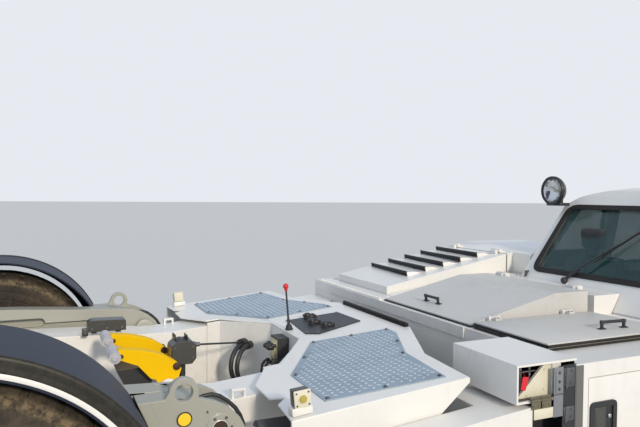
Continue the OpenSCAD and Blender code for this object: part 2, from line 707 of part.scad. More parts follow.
king_y = 960;
king_r = 22;
king_h = 190;
module front_axle() color(dark) {
    z = front_axle_z;
    block([front_axle_x - 60, -king_y + 75, z - 60], [front_axle_x + 60, king_y - 75, z + 60]);
    for (s = [-1, 1]) {
        for (dz = [-king_h / 2, king_h / 2 - 30]) {
            block([front_axle_x - 40, s > 0 ? king_y - 90 : -king_y, z + dz],
                [front_axle_x + 40, s > 0 ? king_y : -king_y + 90, z + dz + 30]);
            translate([front_axle_x, s * king_y, z + dz]) cylinder(r = 40, h = 30);
        }
        block([front_axle_x - 40, s > 0 ? king_y - 90 : -king_y + 75, z - king_h / 2],
            [front_axle_x + 40, s > 0 ? king_y - 75 : -king_y + 90, z + king_h / 2]);
        translate([front_axle_x, s * king_y, z - king_h / 2]) cylinder(r = king_r, h = king_h);
        // Seats of the axle under the frame rails
        block([front_axle_x - 50, s > 0 ? rail_y : -rail_y - rail_w, rail_z1],
            [front_axle_x + 50, s > 0 ? rail_y + rail_w : -rail_y, z - 50]);
    }
}
module knuckle(left) color(dark) on_side(left) translate([front_axle_x, 0, front_axle_z]) {
    difference() {
        union() {
            translate([0, -king_y, -king_h / 2 + 30 + seat]) cylinder(r = 38, h = king_h - 60 - 2 * seat);
            y_rod(0, 0, -king_y - 20, -wheel_half - 40, axle_r);
            y_rod(0, 0, -king_y - 20, -king_y - 45, axle_r + 15);
        }
        translate([0, -king_y, -king_h]) cylinder(r = king_r + fit, h = 2 * king_h);
    }
}

// Wheels

module tyre(d, w, rim_d) {
    r = d / 2;
    rr = rim_d / 2;
    h = w / 2;
    c = min(40, w / 7);
    rotate([90, 0, 0]) rotate_extrude($fn = 56) polygon(concat(
        [[rr, -h + 42], [rr + 22, -h + 20], [(r + rr) / 2, -h]],
        arc(r - c, -h + c + 12, c, -60, 0, 3),
        arc(r - c, h - c - 12, c, 0, 60, 3),
        [[(r + rr) / 2, h], [rr + 22, h - 20], [rr, h - 42]]));
}
module rim(d, w, bore) {
    r = d / 2 - seat;
    h = w / 2;
    rotate([90, 0, 0]) rotate_extrude($fn = 56) polygon([[bore + fit, -20], [bore + fit, h - 20],
        [bore + 60, h - 20], [bore + 60, 25], [r - 45, 25], [r - 30, h - 44], [r, h - 44], [r, -h + 44],
        [r - 14, -h + 44], [r - 22, 5], [bore + 60, 5], [bore + 60, -20]]);
}
module rear_wheel_at(left) on_side(left) translate([rear_axle_x, -wheel_half, rear_axle_z]) children();
module front_wheel_at(left) on_side(left) translate([front_axle_x, -wheel_half, front_axle_z]) children();
module rear_tyre(left) color("#2a2826") rear_wheel_at(left) tyre(rear_tyre_d, rear_tyre_w, rear_rim_d);
module front_tyre(left) color("#2a2826") front_wheel_at(left) tyre(front_tyre_d, front_tyre_w, front_rim_d);
module rear_rim(left) color(white) rear_wheel_at(left) rim(rear_rim_d, rear_tyre_w, axle_r + 10);
module front_rim(left) color(white) front_wheel_at(left) rim(front_rim_d, front_tyre_w, axle_r);

// Swing arms

eye_x = pivot_x - 124;
eye_z = arm_pivot_z + 136;
eye_r = 30;
lever_x = pivot_x;
lever_z = arm_pivot_z - 75;
lever_r = 15;
lever_play = 2.5;
rod_y = 875;
web_in = arm_in + cheek_t;
cheek_in = head_out - cheek_t;
core_x = -140;
// Outlines about the pivot
cheek = concat([[-235, 118], [-190, 120], [-70, 110], [-18, 94], [27, 70], [70, 28]],
    arc(0, 0, arm_nose_r, -6, -90, 8), [[-150, -100], [-190, 0]]);
head_core = [[-235, 118], [-190, 118], [-65, 92], [-65, 74], [core_x, 84], [core_x, -99], [-150, -100],
    [-190, 0]];
module arm_outline() {
    hub_x = rear_axle_x;
    polygon([[hub_x - 90, arm_top_z + 36], [hub_x + 110, arm_top_z + 30], [hub_x + 420, arm_top_z + 9],
        [pivot_x - 190, arm_top_z], [pivot_x + core_x - 1, arm_top_z - 10],
        [pivot_x + core_x - 1, arm_pivot_z - 95], [hub_x + 600, rear_axle_z + 25],
        [hub_x + 130, rear_axle_z - 150], [hub_x - 100, rear_axle_z - 150],
        [hub_x - 190, rear_axle_z - 60], [hub_x - 190, arm_top_z - 60]]);
}
module swing_arm(left) color(grey) on_side(left) {
    hub_x = rear_axle_x;
    difference() {
        union() {
            // Web with a wider band along its top
            side_plate(-web_in, -arm_out) arm_outline();
            side_plate(-arm_in, -web_in - eps) intersection() {
                arm_outline();
                translate([hub_x - 300, arm_top_z - 56]) square([900, 120]);
            }
            // Head: two cheeks joined by a core behind the pivot
            translate([pivot_x, 0, arm_pivot_z]) {
                side_plate(-arm_in, -web_in) polygon(cheek);
                side_plate(-cheek_in, -head_out) polygon(cheek);
                side_plate(-arm_in, -head_out) polygon(head_core);
                y_rod(0, 0, -head_out + 5, -head_out - 4, arm_pin_r + 21);
                y_rod(0, lever_z - arm_pivot_z, -web_in + 10, -cheek_in - 10, lever_r);
                // Round plate that carries the sign
                y_rod(-123, 48, -head_out + 5, -head_out - 3, 25);
            }
            // Lifting eye on the outer cheek
            side_plate(-cheek_in, -head_out) {
                translate([eye_x, eye_z]) circle(r = eye_r + 20);
                polygon([[eye_x - 72, eye_z - 30], [eye_x + 52, eye_z - 30], [eye_x + 44, eye_z + 14],
                    [eye_x - 44, eye_z + 14]]);
            }
            // Axle stub
            y_rod(hub_x, rear_axle_z, -arm_out + 10, -arm_out - 22, axle_r + 60);
            y_rod(hub_x, rear_axle_z, -arm_out, -wheel_half - 100, axle_r + 10);
        }
        y_rod(pivot_x, arm_pivot_z, -arm_in + 10, -head_out - 30, arm_pin_r + fit);
        y_rod(eye_x, eye_z, -cheek_in + 10, -head_out - 10, eye_r);
        // Long recess in the inner face
        side_plate(-arm_in + 1, -arm_in - 60) {
            translate([hub_x - 60, arm_top_z - 83]) square([290, 56]);
            for (x = [hub_x - 60, hub_x + 230]) translate([x, arm_top_z - 55]) circle(r = 28);
        }
    }
}
module mudguard(left) color("#26303f") on_side(left)
    translate([rear_axle_x, -half_w, rear_axle_z]) rotate([-90, 0, 0]) {
    w = half_w - arm_out - 7;
    rotate([0, 0, 190]) rotate_extrude(angle = 170, $fn = 96) polygon([[guard_r - guard_lip, 0],
        [guard_r - 6, 0], [guard_r, 6], [guard_r, w], [guard_r - guard_t, w], [guard_r - guard_t, guard_t],
        [guard_r - guard_lip, guard_t]]);
    // Lugs to the arm
    for (a = [-10, -22]) rotate([0, 0, a]) translate([guard_r - 60, -10, w - 30])
        cube([56, 30, 30 + 7 - seat]);
    translate([-guard_r + 80, -170, w - 20]) cube([guard_r - 80 - 185, 30, 12]);
    translate([-260, -170, w - 20]) cube([75, 30, 27 - seat]);
}

// Lift cylinders: the barrel on the chassis, the rod with its eye at the arm
barrel_x0 = pivot_x + 165;
barrel_x1 = barrel_x0 + 395;
module lift_cylinders() color(dark) for (left = [false, true]) on_side(left) {
    translate([barrel_x0, -rod_y, lever_z]) rotate([0, 90, 0]) difference() {
        cylinder(r = 40, h = barrel_x1 - barrel_x0);
        translate([0, 0, -1]) cylinder(r = 20 + fit, h = 300);
    }
    block([barrel_x1 - 10, -rod_y - 30, lever_z - 45], [barrel_x1 + 60, -rod_y + 30, lever_z + 45]);
    block([barrel_x1 + 20, -rod_y + 25, lever_z - 40], [barrel_x1 + 60, -leg_out, lever_z]);
}
module lift_rod(left) color("#c8ccd0") on_side(left) difference() {
    union() {
        translate([lever_x + 22, -rod_y, lever_z]) rotate([0, 90, 0])
            cylinder(r = 20, h = barrel_x0 + 120 - lever_x - 22);
        y_rod(lever_x, lever_z, -rod_y + 22, -rod_y - 22, lever_r + 20);
    }
    y_rod(lever_x, lever_z, -rod_y + 40, -rod_y - 40, lever_r + lever_play);
}

// Hold-down arms

hold_x = deck_rear_x - 232;
hold_z = 658;
hold_pin_r = 16;
hold_in = 130;
hold_out = 190;
ear_t = 14;
ear_in = hold_in - ear_t - 5;
ear_out = hold_out + 5;
module hold_down(left) color(yellow) on_side(left) translate([hold_x, 0, hold_z]) {
    difference() {
        union() {
            side_plate(-hold_in, -hold_out) {
                polygon([[-214, 190], [-130, 181], [-70, 166], [-14, 145], [36, 112], [62, 80], [36, 0],
                    [20, -30], [-30, -28], [-36, 0], [-54, 40], [-76, 46], [-133, 111], [-163, 123],
                    [-219, 147], [-232, 165]]);
                circle(r = 36);
            }
            y_rod(-236, 168, -70, -250, 10);
            y_rod(-236, 168, -hold_in, -hold_out, 22);
        }
        y_rod(0, 0, -hold_in + 5, -hold_out - 5, hold_pin_r + fit);
        y_rod(39, 92, -hold_in + 5, -hold_out - 5, 9);
    }
    y_rod(39, 92, -hold_in + 6, -hold_out - 6, 14);
}
// Two rollers on the tip of each hold-down arm
module roller(left) color(grey) on_side(left) translate([hold_x - 236, 0, hold_z + 168]) {
    for (y = [-76, -hold_out - 6]) difference() {
        union() {
            y_rod(0, 0, y, y - 48, 20);
            for (d = [0, 17, 34]) y_rod(0, 0, y - d, y - d - 14, 25);
        }
        y_rod(0, 0, y + 5, y - 60, 10 + fit);
    }
}

// Gate at the rear of the cradle

gate_x = tip_x + 470;
gate_y = 462;
gate_pin_r = 16;
gate_z0 = 190;
gate_z1 = 330;
module gate(left) color(grey) on_side(left) {
    difference() {
        union() {
            translate([gate_x, -gate_y, gate_z0 + seat]) cylinder(r = 36, h = gate_z1 - gate_z0 - 2 * seat);
            block([gate_x - 25, -gate_y, gate_z0 + 10], [gate_x + 25, -6, gate_z1 - 10]);
        }
        translate([gate_x, -gate_y, gate_z0 - 5]) cylinder(r = gate_pin_r + fit, h = gate_z1 - gate_z0 + 10);
    }
}

// Hood and hatches

module wedge_outline(x0, x1, xm, z0, zm, zb) {
    polygon([[x0, zb], [x1, zb], [x1, zm], [xm, zm], [x0, z0]]);
}
louvre_pitch = 147;
louvre_x = hood_x + 228;
louvre_skew = 40;
module louvre_at(i) {
    x = louvre_x + i * louvre_pitch;
    y0 = hood_in + 122;
    y1 = hood_out - 10;
    translate([x, y0, hood_z(x)]) rotate([0, 0, -atan2(louvre_skew, y1 - y0)])
        rotate([0, -atan2(hood_top_z - hood_low_z, hood_l), 0]) children();
}
module engine_hood() color(white) {
    x0 = hood_x;
    x1 = hood_end_x - 4;
    zb = body_top_z - 8 + seat;
    louvre_l = hood_out - hood_in - 150;
    difference() {
        side_plate(hood_in, hood_out) wedge_outline(x0, x1, x1, hood_low_z, hood_z(x1), zb);
        side_plate(hood_in + 10, hood_out - 10)
            wedge_outline(x0 + 10, x1 - 10, x1 - 10, hood_low_z - 10, hood_z(x1) - 13, zb - 1);
        for (i = [0 : 4]) louvre_at(i) translate([4, 4, -40]) cube([30, louvre_l - 8, 80]);
    }
    // Scoops over the slots, open to the rear
    for (i = [0 : 4]) louvre_at(i) {
        translate([2, 0, 0]) rotate([0, 14, 0]) translate([0, 0, 30]) cube([116, louvre_l, 3]);
        for (y = [0, louvre_l - 3]) translate([2, y, 0]) rotate([90, 0, 0]) translate([0, 0, -3])
            linear_extrude(3) polygon([[0, -4], [118, -4], [118, 1], [8, 29], [0, 30]]);
    }
    for (y = hood_pins) translate([hood_end_x, y, hood_top_z + hood_pin_up]) rotate([90, 0, 0]) {
        hinge_sleeve(7, 90, 15);
        translate([-34, -hood_pin_up - 6, -28]) cube([26, 24, 56]);
    }
}

module mid_hatch() color(white) {
    x0 = hatch_x;
    x1 = hatch_end_x;
    zb = body_top_z - 8 + seat;
    difference() {
        side_plate(-mid_right, mid_left) wedge_outline(x0, x1, x0 + 560, body_top_z + 6, mid_high_z, zb);
        side_plate(-mid_right + 10, mid_left - 10)
            wedge_outline(x0 + 10, x1 - 10, x0 + 555, body_top_z - 4, mid_high_z - 10, zb - 1);
    }
    handle(x0 + 110, -60, body_top_z + 30, 13);
    for (y = [-mid_right + 120, mid_left - 120]) translate([mid_pin_x, y, mid_pin_z]) rotate([90, 0, 0]) {
        hinge_sleeve(7, 90, 15);
        translate([-32, -8, -28]) cube([24, 16, 56]);
    }
}
// A round pull handle along Y on a surface that rises by a few degrees
module handle(x, y, z, tilt) {
    translate([x, y, z]) rotate([0, -tilt, 0]) {
        for (d = [-60, 60]) translate([0, d, -3]) cylinder(r = 6, h = 36);
        translate([0, -60, 33]) rotate([-90, 0, 0]) cylinder(r = 6, h = 120);
    }
}

module near_hatch() color(white) {
    z0 = body_top_z - 8 + seat;
    block([hatch_x, -near_out, z0], [hatch_end_x - 20, -near_in - 14, z0 + 32]);
    handle(hatch_end_x - 130, -near_out + 90, z0 + 32, 0);
    for (x = near_pins) translate([x, near_pin_y, near_pin_z]) rotate([0, 90, 0]) {
        hinge_sleeve(5, 70, 12);
        translate([-4, -40, -20]) cube([15, 33, 40]);
    }
}

// Cab

// Outline of the cab in X and Z, moved in by a wall thickness
module cab_side_outline(in) {
    z1 = cab_h - in;
    back = in * sqrt(1 + rear_rake * rear_rake);
    rx = rear_wall_x(z1 - 60) + back;
    fx = screen_x - (cab_h - belt_z) * front_rake - in * 1.12;
    polygon([[cab_rear_x + in, cab_floor_z + in], [cab_rear_x + in, body_top_z - (back - in) / rear_rake],
        [rx, z1 - 60], [rx + 26, z1 - 26], [rx + 62, z1 - 8], [rx + 110, z1],
        [fx - 60, z1], [fx - 14, z1 - 14], [fx + 14, z1 - 52],
        [screen_x - in * 1.12, belt_z + in * 0.5], [screen_x - in * 1.12, belt_z - 30 + in],
        [cab_low_front_x - in, belt_z - 30 + in], [cab_low_front_x - in, cab_floor_z + in]]);
}
// The roof's crown: distance from the cab's middle and drop below the top
crown = [[0, 0], [200, 7], [350, 22], [470, 42], [560, 66], [610, 92]];
// Outline of the cab in Y and Z, moved in by a wall thickness
module cab_end_outline(in) {
    eave_z = cab_h - 125 - in;
    k = lean / (cab_h - belt_z);
    half = (cab_left - cab_right) / 2 - cab_left;
    edge = [[in + half, cab_floor_z + in], [in + half, belt_z], [in + half + k * (eave_z - belt_z), eave_z]];
    roof = [for (i = [len(crown) - 1 : -1 : 0])
        [-crown[i][0] * (1 + in / half), cab_h - in - crown[i][1]]];
    right = concat(edge, roof);
    left = [for (i = [len(right) - 2 : -1 : 0]) [-right[i][0], right[i][1]]];
    translate([mid_y, 0]) polygon(concat(right, left));
}
module cab_solid(in) {
    intersection() {
        translate([0, 500, 0]) rotate([90, 0, 0]) linear_extrude(2000) cab_side_outline(in);
        translate([cab_rear_x - 100, 0, 0]) rotate([90, 0, 90]) linear_extrude(3000) cab_end_outline(in);
    }
}
win_z0 = belt_z + 28;
win_z1 = cab_h - 132;
module window_prism(z0, z1, half0, half1) {
    // Rear or front window along X
    rotate([90, 0, 90]) linear_extrude(1000) polygon([[mid_y - half0, z0], [mid_y + half0, z0],
        [mid_y + half1, z1], [mid_y - half1, z1]]);
}
module rear_window(g) translate([cab_rear_x - 300, 0, 0])
    window_prism(win_z0 + g, win_z1 - g, 670 - g, 605 - g);
module windscreen(g) translate([cab_low_front_x + 100, 0, 0])
    window_prism(win_z0 + g, win_z1 - g, 670 - g, 560 - g);
module side_window(y, g) translate([0, y, 0]) rotate([90, 0, 0]) linear_extrude(400)
    polygon([[door_rear_x + 120 + g * 1.2, win_z0 + g], [door_front_x - 40 - g, win_z0 + g],
        [door_front_x - 40 - g, win_z1 - g], [door_rear_x + 405 + g * 1.2, win_z1 - g]]);
module quarter_window(y, g) translate([0, y, 0]) rotate([90, 0, 0]) linear_extrude(400)
    polygon([[door_front_x + 70 + g, win_z0 + g], [screen_x - 120 - g * 1.5, win_z0 + g],
        [screen_x - 320 - g * 1.2, win_z1 - g], [door_front_x + 70 + g, win_z1 - g]]);
module door_prism(g) translate([0, -cab_right + 330, 0]) rotate([90, 0, 0]) linear_extrude(400)
    polygon([[door_rear_x + g, door_sill_z + g], [door_front_x - g, door_sill_z + g],
        [door_front_x - g, door_top_z - g], [door_rear_x + 370 + g * 1.2, door_top_z - g],
        [door_rear_x + g, body_top_z + 60]]);
hinge_tilt = 4;
door_hinges = [560, 960];
module door_axis_at(z) {
    translate([door_front_x + 4, -cab_right - 16 + (z - door_hinges[1]) * tan(hinge_tilt), z])
        rotate([-hinge_tilt, 0, 0]) children();
}
module foot_outer(in) {
    block([cab_low_front_x - 60, -foot_half + in, cab_floor_z + 40 + in],
        [screen_x - 260 - in, cab_left - in, belt_z - 20 + (in > 0 ? 60 : 0)]);
}
module cab_shell() color(white) difference() {
    union() {
        difference() {
            union() {
                cab_solid(0);
                foot_outer(0);
            }
            cab_solid(cab_wall);
            foot_outer(12);
        }
        for (z = door_hinges) door_axis_at(z) {
            hinge_pin(6, 80, 14);
            for (d = [-40, 26]) translate([0, -6, d]) cube([40, 50, 14]);
        }
    }
    rear_window(0);
    windscreen(0);
    side_window(cab_left + 100, 0);
    quarter_window(cab_left + 100, 0);
    quarter_window(-cab_right + 330, 0);
    door_prism(0);
}
module pane_layer() difference() {
    cab_solid(12);
    cab_solid(12 + glass_t);
}
module cab_glass() color("#5f7f86") intersection() {
    pane_layer();
    union() {
        rear_window(seat);
        windscreen(seat);
        side_window(cab_left + 100, seat);
        quarter_window(cab_left + 100, seat);
        quarter_window(-cab_right + 330, seat);
    }
}
// The door's room: as deep as the wall up to the roof, so that its top swings clear of the post
door_depth = cab_wall + 5;
module door_slab() rotate([90, 0, 90]) linear_extrude(3000)
    polygon([[-cab_right - 1, 0], [-cab_right + door_depth, 0], [-cab_right + door_depth, belt_z],
        [-cab_right + door_depth + lean_at(cab_h), cab_h], [-cab_right - 1, cab_h]]);
module cab_door() color(white) {
    difference() {
        intersection() {
            difference() {
                cab_solid(0);
                cab_solid(cab_wall);
            }
            door_prism(shut_gap + 2);
            door_slab();
        }
        side_window(-cab_right + 330, 0);
    }
    for (z = door_hinges) door_axis_at(z) {
        hinge_sleeve(6, 80, 14);
        translate([-44, -6, -20]) cube([34, 27 + (door_hinges[1] - z) * tan(hinge_tilt), 40]);
    }
}
module door_glass() color("#5f7f86") intersection() {
    pane_layer();
    side_window(-cab_right + 330, seat);
}

seat_x = cab_rear_x + 455;
module seats() color("#2b2c2e") for (y = [-850, -150]) translate([seat_x, y, cab_floor_z + cab_wall + seat]) {
    block([-100, -150, 0], [250, 150, 170]);
    block([-130, -230, 170 + seat], [330, 230, 290]);
    difference() {
        translate([-130, -220, 240]) rotate([0, -8, 0]) cube([110, 440, 540]);
        block([-300, -300, 200], [300, 300, 290 + seat]);
    }
}

wheel_x = cab_low_front_x - 150;
wheel_y = -850;
wheel_z = belt_z + 45;
column_tilt = 35;
module dashboard() color(dark) {
    block([cab_low_front_x - 110, -cab_right + cab_wall + 8, belt_z + 5 + seat],
        [screen_x - 60, cab_left - cab_wall - 8, belt_z + 20]);
    block([cab_low_front_x - 110, -cab_right + cab_wall + 40, belt_z - 160],
        [cab_low_front_x - cab_wall - seat, cab_left - cab_wall - 40, belt_z + 10]);
    translate([wheel_x, wheel_y, wheel_z]) rotate([0, -column_tilt, 0]) {
        translate([0, 0, -120]) cylinder(r = 30, h = 98);
        translate([0, 0, -30]) cylinder(r = 12, h = 45);
    }
}
module steering_wheel() color(black) translate([wheel_x, wheel_y, wheel_z]) rotate([0, -column_tilt, 0]) {
    rotate_extrude($fn = 48) translate([185, 0]) circle(r = 13, $fn = 16);
    difference() {
        translate([0, 0, -15]) cylinder(r = 40, h = 45);
        translate([0, 0, -20]) cylinder(r = 12 + fit, h = 35 + 0.5);
    }
    for (a = [0, 120, 240]) rotate([0, 0, a]) translate([30, -14, -6]) cube([145, 28, 12]);
}

// Where the leaning cab side is at a height, from the plane it has at the belt line
function lean_at(z) = lean * (z - belt_z) / (cab_h - belt_z);
mirror_x = screen_x - 215;
mirror_z = belt_z + 330;
module cab_fittings() color(black) {
    // Mirrors on both sides, each on an arm from the front post
    for (s = [-1, 1]) {
        wall = s > 0 ? cab_left - lean_at(mirror_z - 8) : -cab_right + lean_at(mirror_z - 8);
        y0 = wall + s * seat;
        y1 = wall + s * 90;
        block([mirror_x - 8, min(y0, y1), mirror_z - 8], [mirror_x + 8, max(y0, y1), mirror_z + 8]);
        block([mirror_x - 24, min(y1, y1 + s * 30), mirror_z - 90],
            [mirror_x + 16, max(y1, y1 + s * 30), mirror_z + 90]);
    }
}

main_frame();
cradle_deck();
cradle_frame();
fork_legs();
tread_plates();
connector_plate();
whip_marker();
button_boxes();
pit_equipment();
sensor_box();
body_top();
on_side(true) body_side(true);  // body_side_left
body_side(false);  // body_side_right
corner_box();
ribbed_step();
nose_panel();
front_bumper();
lamps();
engine_block();
front_axle();
cab_shell();
cab_glass();
seats();
dashboard();
cab_fittings();
lift_cylinders();
swing_arm(true);  // swing_arm_left
swing_arm(false);  // swing_arm_right
mudguard(true);  // mudguard_left
mudguard(false);  // mudguard_right
lift_rod(true);  // lift_rod_left
lift_rod(false);  // lift_rod_right
rear_tyre(true);  // rear_tyre_left
rear_tyre(false);  // rear_tyre_right
rear_rim(true);  // rear_rim_left
rear_rim(false);  // rear_rim_right
knuckle(true);  // knuckle_left
knuckle(false);  // knuckle_right
front_tyre(true);  // front_tyre_left
front_tyre(false);  // front_tyre_right
front_rim(true);  // front_rim_left
front_rim(false);  // front_rim_right
hold_down(true);  // hold_down_left
hold_down(false);  // hold_down_right
roller(true);  // roller_left
roller(false);  // roller_right
gate(true);  // gate_left
gate(false);  // gate_right
engine_hood();
mid_hatch();
near_hatch();
service_door();
cab_door();
door_glass();
steering_wheel();
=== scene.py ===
import json
import math

import bmesh
import bpy
from mathutils import Matrix, Vector


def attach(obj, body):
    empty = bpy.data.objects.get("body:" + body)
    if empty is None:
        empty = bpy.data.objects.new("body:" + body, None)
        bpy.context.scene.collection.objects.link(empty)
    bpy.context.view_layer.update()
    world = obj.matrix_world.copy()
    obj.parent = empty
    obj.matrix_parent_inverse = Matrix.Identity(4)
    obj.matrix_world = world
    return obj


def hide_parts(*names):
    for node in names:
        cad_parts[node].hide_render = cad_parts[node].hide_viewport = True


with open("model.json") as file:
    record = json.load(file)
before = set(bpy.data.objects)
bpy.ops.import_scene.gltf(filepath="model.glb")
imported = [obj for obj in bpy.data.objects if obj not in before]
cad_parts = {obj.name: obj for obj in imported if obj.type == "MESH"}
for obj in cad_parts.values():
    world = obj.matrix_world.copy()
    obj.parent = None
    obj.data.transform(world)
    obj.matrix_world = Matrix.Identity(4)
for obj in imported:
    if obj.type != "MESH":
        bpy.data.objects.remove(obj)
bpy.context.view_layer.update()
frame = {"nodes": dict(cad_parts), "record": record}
nodes = frame["nodes"]
scene = bpy.context.scene
print("frame loaded,", len(nodes), "nodes")

# camera, as the photo was taken over the right rear wheel
viewpoint = {"place": (-2.100, -3.025, 1.540), "yaw": 24.16, "pitch": 1.68, "roll": 0.51, "lens": 34.74}


def makeCamera(v):
    data = bpy.data.cameras.new("camera")
    data.lens = v["lens"]
    data.sensor_width = 36.0
    data.clip_start, data.clip_end = 0.05, 500
    camera = bpy.data.objects.new("camera", data)
    scene.collection.objects.link(camera)
    camera.matrix_world = (
        Matrix.Translation(v["place"])
        @ Matrix.Rotation(math.radians(-v["yaw"]), 4, "Z")
        @ Matrix.Rotation(math.radians(90 - v["pitch"]), 4, "X")
        @ Matrix.Rotation(math.radians(v["roll"]), 4, "Z")
    )
    scene.camera = camera


makeCamera(viewpoint)


# shader values that work in plain arithmetic
class Signal:
    def __init__(self, finish, socket):
        self.finish, self.socket = finish, socket

    def calc(self, operation, *values):
        return self.finish.add("ShaderNodeMath", {"operation": operation}, dict(enumerate(values)))

    def __add__(self, other):
        return self.calc("ADD", self, other)

    def __sub__(self, other):
        return self.calc("SUBTRACT", self, other)

    def __rsub__(self, other):
        return self.calc("SUBTRACT", other, self)

    def __mul__(self, other):
        return self.calc("MULTIPLY", self, other)

    def __truediv__(self, other):
        return self.calc("DIVIDE", self, other)

    def __pow__(self, other):
        return self.calc("POWER", self, other)

    __radd__, __rmul__ = __add__, __mul__


class Finish:
    def __init__(self, name):
        self.material = bpy.data.materials.new(name)
        self.material.use_nodes = True
        self.tree = self.material.node_tree
        self.tree.nodes.clear()
        self.place = self.add("ShaderNodeTexCoord", out="Object")

    def add(self, kind, settings=None, values=None, out=0):
        node = self.tree.nodes.new(kind)
        for key, value in (settings or {}).items():
            if key == "stops":
                ramp = node.color_ramp
                for i, (position, colour) in enumerate(value):
                    stop = ramp.elements[i] if i < 2 else ramp.elements.new(position)
                    stop.position, stop.color = position, colour
            else:
                setattr(node, key, value)
        for key, value in (values or {}).items():
            if isinstance(value, Signal):
                self.tree.links.new(value.socket, node.inputs[key])
            else:
                node.inputs[key].default_value = value
        return Signal(self, node.outputs[out])

    def stretched(self, scale):
        return self.add("ShaderNodeMapping", None, {"Vector": self.place, "Scale": scale})

    def noise(self, scale, detail=3, roughness=0.5, stretch=None):
        source = self.stretched(stretch) if stretch else self.place
        values = {"Vector": source, "Scale": scale, "Detail": detail, "Roughness": roughness}
        return self.add("ShaderNodeTexNoise", None, values)

    def between(self, value, low, high):
        values = {"Value": value, "From Min": low, "From Max": high}
        return self.add("ShaderNodeMapRange", {"interpolation_type": "SMOOTHSTEP"}, values)

    def mix(self, share, first, second):
        return self.add("ShaderNodeMix", {"data_type": "RGBA"}, {0: share, 6: first, 7: second}, out=2)

    def bump(self, height, strength, distance):
        values = {"Height": height, "Strength": strength, "Distance": distance}
        return self.add("ShaderNodeBump", None, values)

    def axis(self, name, vector):
        return self.add("ShaderNodeSeparateXYZ", None, {"Vector": vector}, out=name)

    def shade(self, **values):
        sockets = {key.replace("_", " "): value for key, value in values.items()}
        shader = self.add("ShaderNodeBsdfPrincipled", None, sockets)
        output = self.tree.nodes.new("ShaderNodeOutputMaterial")
        self.tree.links.new(shader.socket, output.inputs["Surface"])
        return self.material


def rgb(r, g, b):
    return (r, g, b, 1.0)


def paint(name, colour, dirt, roughness=0.32, coat=0.25, dustColour=rgb(0.30, 0.26, 0.20), shine=0.5):
    f = Finish(name)
    tone = f.noise(2.2, 4, 0.6)
    fine = f.noise(26, 5, 0.65)
    streaks = f.noise(1, 4, 0.6, stretch=(16, 16, 0.9))
    upward = f.axis("Z", f.add("ShaderNodeNewGeometry", out="Normal"))
    wall = 1 - f.between(upward * upward, 0.05, 0.6)
    patches = f.between(tone * 0.6 + fine * 0.4, 0.5, 0.72)
    grime = patches * dirt + f.between(streaks, 0.56, 0.74) * wall * dirt * 0.5
    height = f.axis("Z", f.place)
    low = (1 - f.between(height, 0.05, 0.75)) * f.between(fine * 0.5 + tone * 0.5, 0.3, 0.65) * (dirt + 0.15)
    darker = tuple(c * 0.78 for c in colour[:3]) + (1.0,)
    base = f.mix(grime * 0.5, f.mix(f.between(tone, 0.35, 0.7) * 0.14, colour, darker), dustColour)
    base = f.mix(low, base, dustColour)
    rough = roughness + grime * 0.4 + low * 0.4 + fine * 0.06
    peel = f.bump(f.noise(320, 2), 0.05, 0.0006)
    return f.shade(Base_Color=base, Roughness=rough, Coat_Weight=coat, Coat_Roughness=0.08, Normal=peel,
                   Specular_IOR_Level=shine)


def rubber(name, colour, dust, dustColour, roughness=0.75, ring=None):
    f = Finish(name)
    tone = f.noise(5, 5, 0.65)
    fine = f.noise(60, 4, 0.7)
    dusty = f.between(tone * 0.55 + fine * 0.45, 0.38, 0.68) * dust
    base = f.mix(dusty, colour, dustColour)
    if ring:
        # dried mud in a ring about an axle
        across, up = f.axis("X", f.place) - ring["x"], f.axis("Z", f.place) - ring["z"]
        reach = (across * across + up * up) ** 0.5
        low, high, fade = ring["low"], ring["high"], 0.02
        band = f.between(reach, low, low + fade) * (1 - f.between(reach, high - fade, high))
        mud = band * f.between(f.noise(34, 5, 0.75) * 0.5 + fine * 0.5, 0.40, 0.62) * 0.8
        base = f.mix(mud, base, ring["colour"])
    normal = f.bump(fine + f.noise(240, 2) * 0.5, 0.25, 0.0012)
    return f.shade(Base_Color=base, Roughness=roughness + dusty * 0.2, Normal=normal, Specular_IOR_Level=0.3)


def plastic(name, colour, roughness=0.45, scuff=0.15):
    f = Finish(name)
    tone = f.noise(7, 4, 0.6)
    scuffs = f.between(f.noise(38, 5, 0.7), 0.55, 0.75) * scuff
    lighter = tuple(min(1, c * 1.6 + 0.05) for c in colour[:3]) + (1.0,)
    base = f.mix(scuffs + tone * 0.12, colour, lighter)
    normal = f.bump(f.noise(420, 2), 0.12, 0.0005)
    return f.shade(Base_Color=base, Roughness=roughness + scuffs, Normal=normal)


def metal(name, colour, roughness, tarnish=0.2, metallic=1.0):
    f = Finish(name)
    lines = f.noise(14, 3, 0.6, stretch=(1, 1, 60))
    stain = f.between(f.noise(9, 4, 0.6), 0.45, 0.75) * tarnish
    darker = tuple(c * 0.4 for c in colour[:3]) + (1.0,)
    base = f.mix(stain, colour, darker)
    rough = roughness + lines * 0.12 + stain * 0.3
    return f.shade(Base_Color=base, Roughness=rough, Metallic=metallic, Normal=f.bump(lines, 0.08, 0.0004))


def glass(name, colour, alpha, smearColour):
    f = Finish(name)
    smear = f.between(f.noise(5, 5, 0.6), 0.4, 0.75)
    return f.shade(Base_Color=f.mix(smear * 0.4, colour, smearColour), Roughness=0.03 + smear * 0.05,
                   Alpha=alpha + smear * 0.04, Specular_IOR_Level=0.8)


